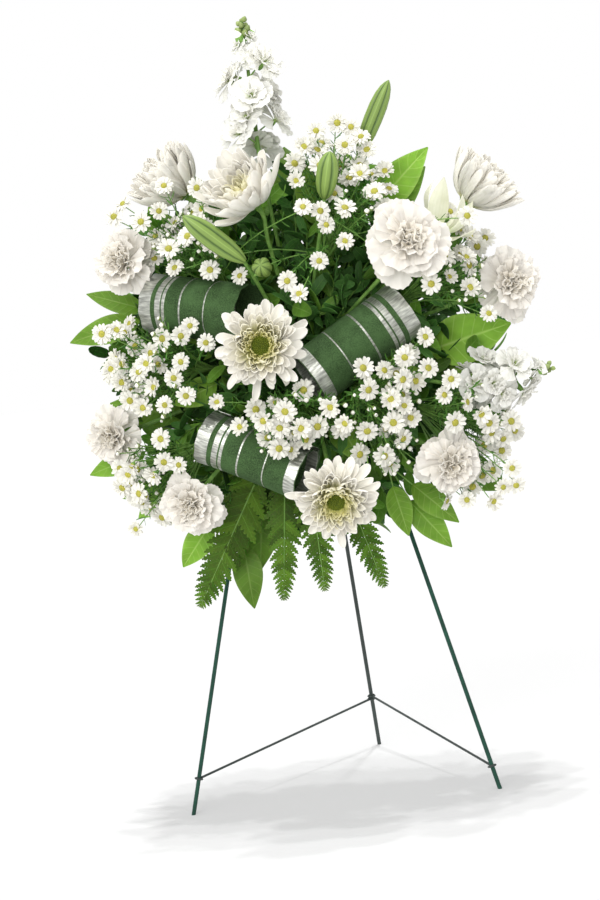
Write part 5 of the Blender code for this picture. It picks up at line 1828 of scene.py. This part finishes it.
def glowing_finish(name, grey, glow):
    """A matt grey that also gives off white light of its own."""
    material, _, shader = new_finish(name, 1.0, Emission_Strength=glow, Specular_IOR_Level=0.0)
    shader.inputs["Base Color"].default_value = (grey, grey, grey, 1)
    shader.inputs["Emission Color"].default_value = (1, 1, 1, 1)
    return material


class SPRAY_OT_stage(bpy.types.Operator):
    """The plain floor, soft studio light and the camera at the photograph's angle"""

    bl_idname = "spray.stage"
    bl_label = "Stage"

    def execute(self, context):
        scene = context.scene
        deselect()
        bpy.ops.mesh.primitive_circle_add(vertices=96, radius=40, fill_type="NGON")
        floor = bpy.context.object
        floor.name = "floor"
        floor.data.materials.append(glowing_finish("floor paper", 0.5, 0.245))
        deselect()
        bpy.ops.mesh.primitive_uv_sphere_add(segments=48, ring_count=24, radius=60)
        dome = bpy.context.object
        dome.name = "backdrop"
        dome.data.materials.append(glowing_finish("backdrop white", 0.0, 1.0))
        for kind in ("diffuse", "glossy", "transmission", "volume_scatter", "shadow"):
            setattr(dome, "visible_" + kind, False)
        scene.world = bpy.data.worlds.new("studio")
        scene.world.use_nodes = True
        background = scene.world.node_tree.nodes["Background"]
        background.inputs[0].default_value = (1, 1, 1, 1)
        background.inputs[1].default_value = 0.75
        for name, toward, power, spread in (
            ("far key", (-0.045, 0.14, -1.0), 0.70, 1.6),
            ("middle key", (-0.035, 0.03, -1.0), 0.70, 1.6),
            ("near key", (-0.03, -0.08, -1.0), 0.70, 1.6),
            ("front", (0.15, 0.95, -0.27), 2.5, 50),
        ):
            light = bpy.data.lights.new(name, "SUN")
            light.energy = power
            light.angle = math.radians(spread)
            lamp = bpy.data.objects.new(name, light)
            scene.collection.objects.link(lamp)
            lamp.rotation_mode = "QUATERNION"
            lamp.rotation_quaternion = Vector(toward).to_track_quat("-Z", "Y")
        scene.view_settings.view_transform = "Standard"
        self.camera(scene)
        return {"FINISHED"}

    def camera(self, scene):
        camera = bpy.data.cameras.new("camera")
        camera.lens = CAMERA_LENS
        camera.sensor_width = FILM_WIDTH
        camera.clip_end = 200
        holder = bpy.data.objects.new("camera", camera)
        scene.collection.objects.link(holder)
        place, turned, upward, back = view_frame()
        turn = Matrix((turned, upward, back)).transposed().to_4x4()
        holder.matrix_world = Matrix.Translation(place + SHIFT) @ turn
        scene.camera = holder


class SPRAY_PT_panel(bpy.types.Panel):
    """Lists the spray's sizes, colours and steps"""

    bl_label = "Funeral spray"
    bl_idname = "SPRAY_PT_panel"
    bl_space_type = "VIEW_3D"
    bl_region_type = "UI"
    bl_category = "Spray"

    def draw(self, context):
        layout = self.layout
        for group in (context.scene.spray_sizes, context.scene.spray_colours):
            for name in group.__annotations__:
                layout.prop(group, name)
        for step in STEPS:
            layout.operator(step.bl_idname)


STEPS = (
    SPRAY_OT_easel,
    SPRAY_OT_mums,
    SPRAY_OT_carnations,
    SPRAY_OT_ribbons,
    SPRAY_OT_flower_spikes,
    SPRAY_OT_lilies,
    SPRAY_OT_leafy_stems,
    SPRAY_OT_ferns,
    SPRAY_OT_asters,
    SPRAY_OT_inner_greenery,
    SPRAY_OT_stage,
)
CLASSES = (SpraySizes, SprayColours, SPRAY_PT_panel) + STEPS


def register():
    for item in CLASSES:
        bpy.utils.register_class(item)
    bpy.types.Scene.spray_sizes = bpy.props.PointerProperty(type=SpraySizes)
    bpy.types.Scene.spray_colours = bpy.props.PointerProperty(type=SprayColours)


def unregister():
    del bpy.types.Scene.spray_colours
    del bpy.types.Scene.spray_sizes
    for item in reversed(CLASSES):
        bpy.utils.unregister_class(item)


def main():
    register()
    bpy.ops.spray.easel()
    bpy.ops.spray.mums()
    bpy.ops.spray.carnations()
    bpy.ops.spray.ribbons()
    bpy.ops.spray.flower_spikes()
    bpy.ops.spray.lilies()
    bpy.ops.spray.leafy_stems()
    bpy.ops.spray.ferns()
    bpy.ops.spray.asters()
    bpy.ops.spray.inner_greenery()
    bpy.ops.spray.stage()


if __name__ == "__main__":
    main()
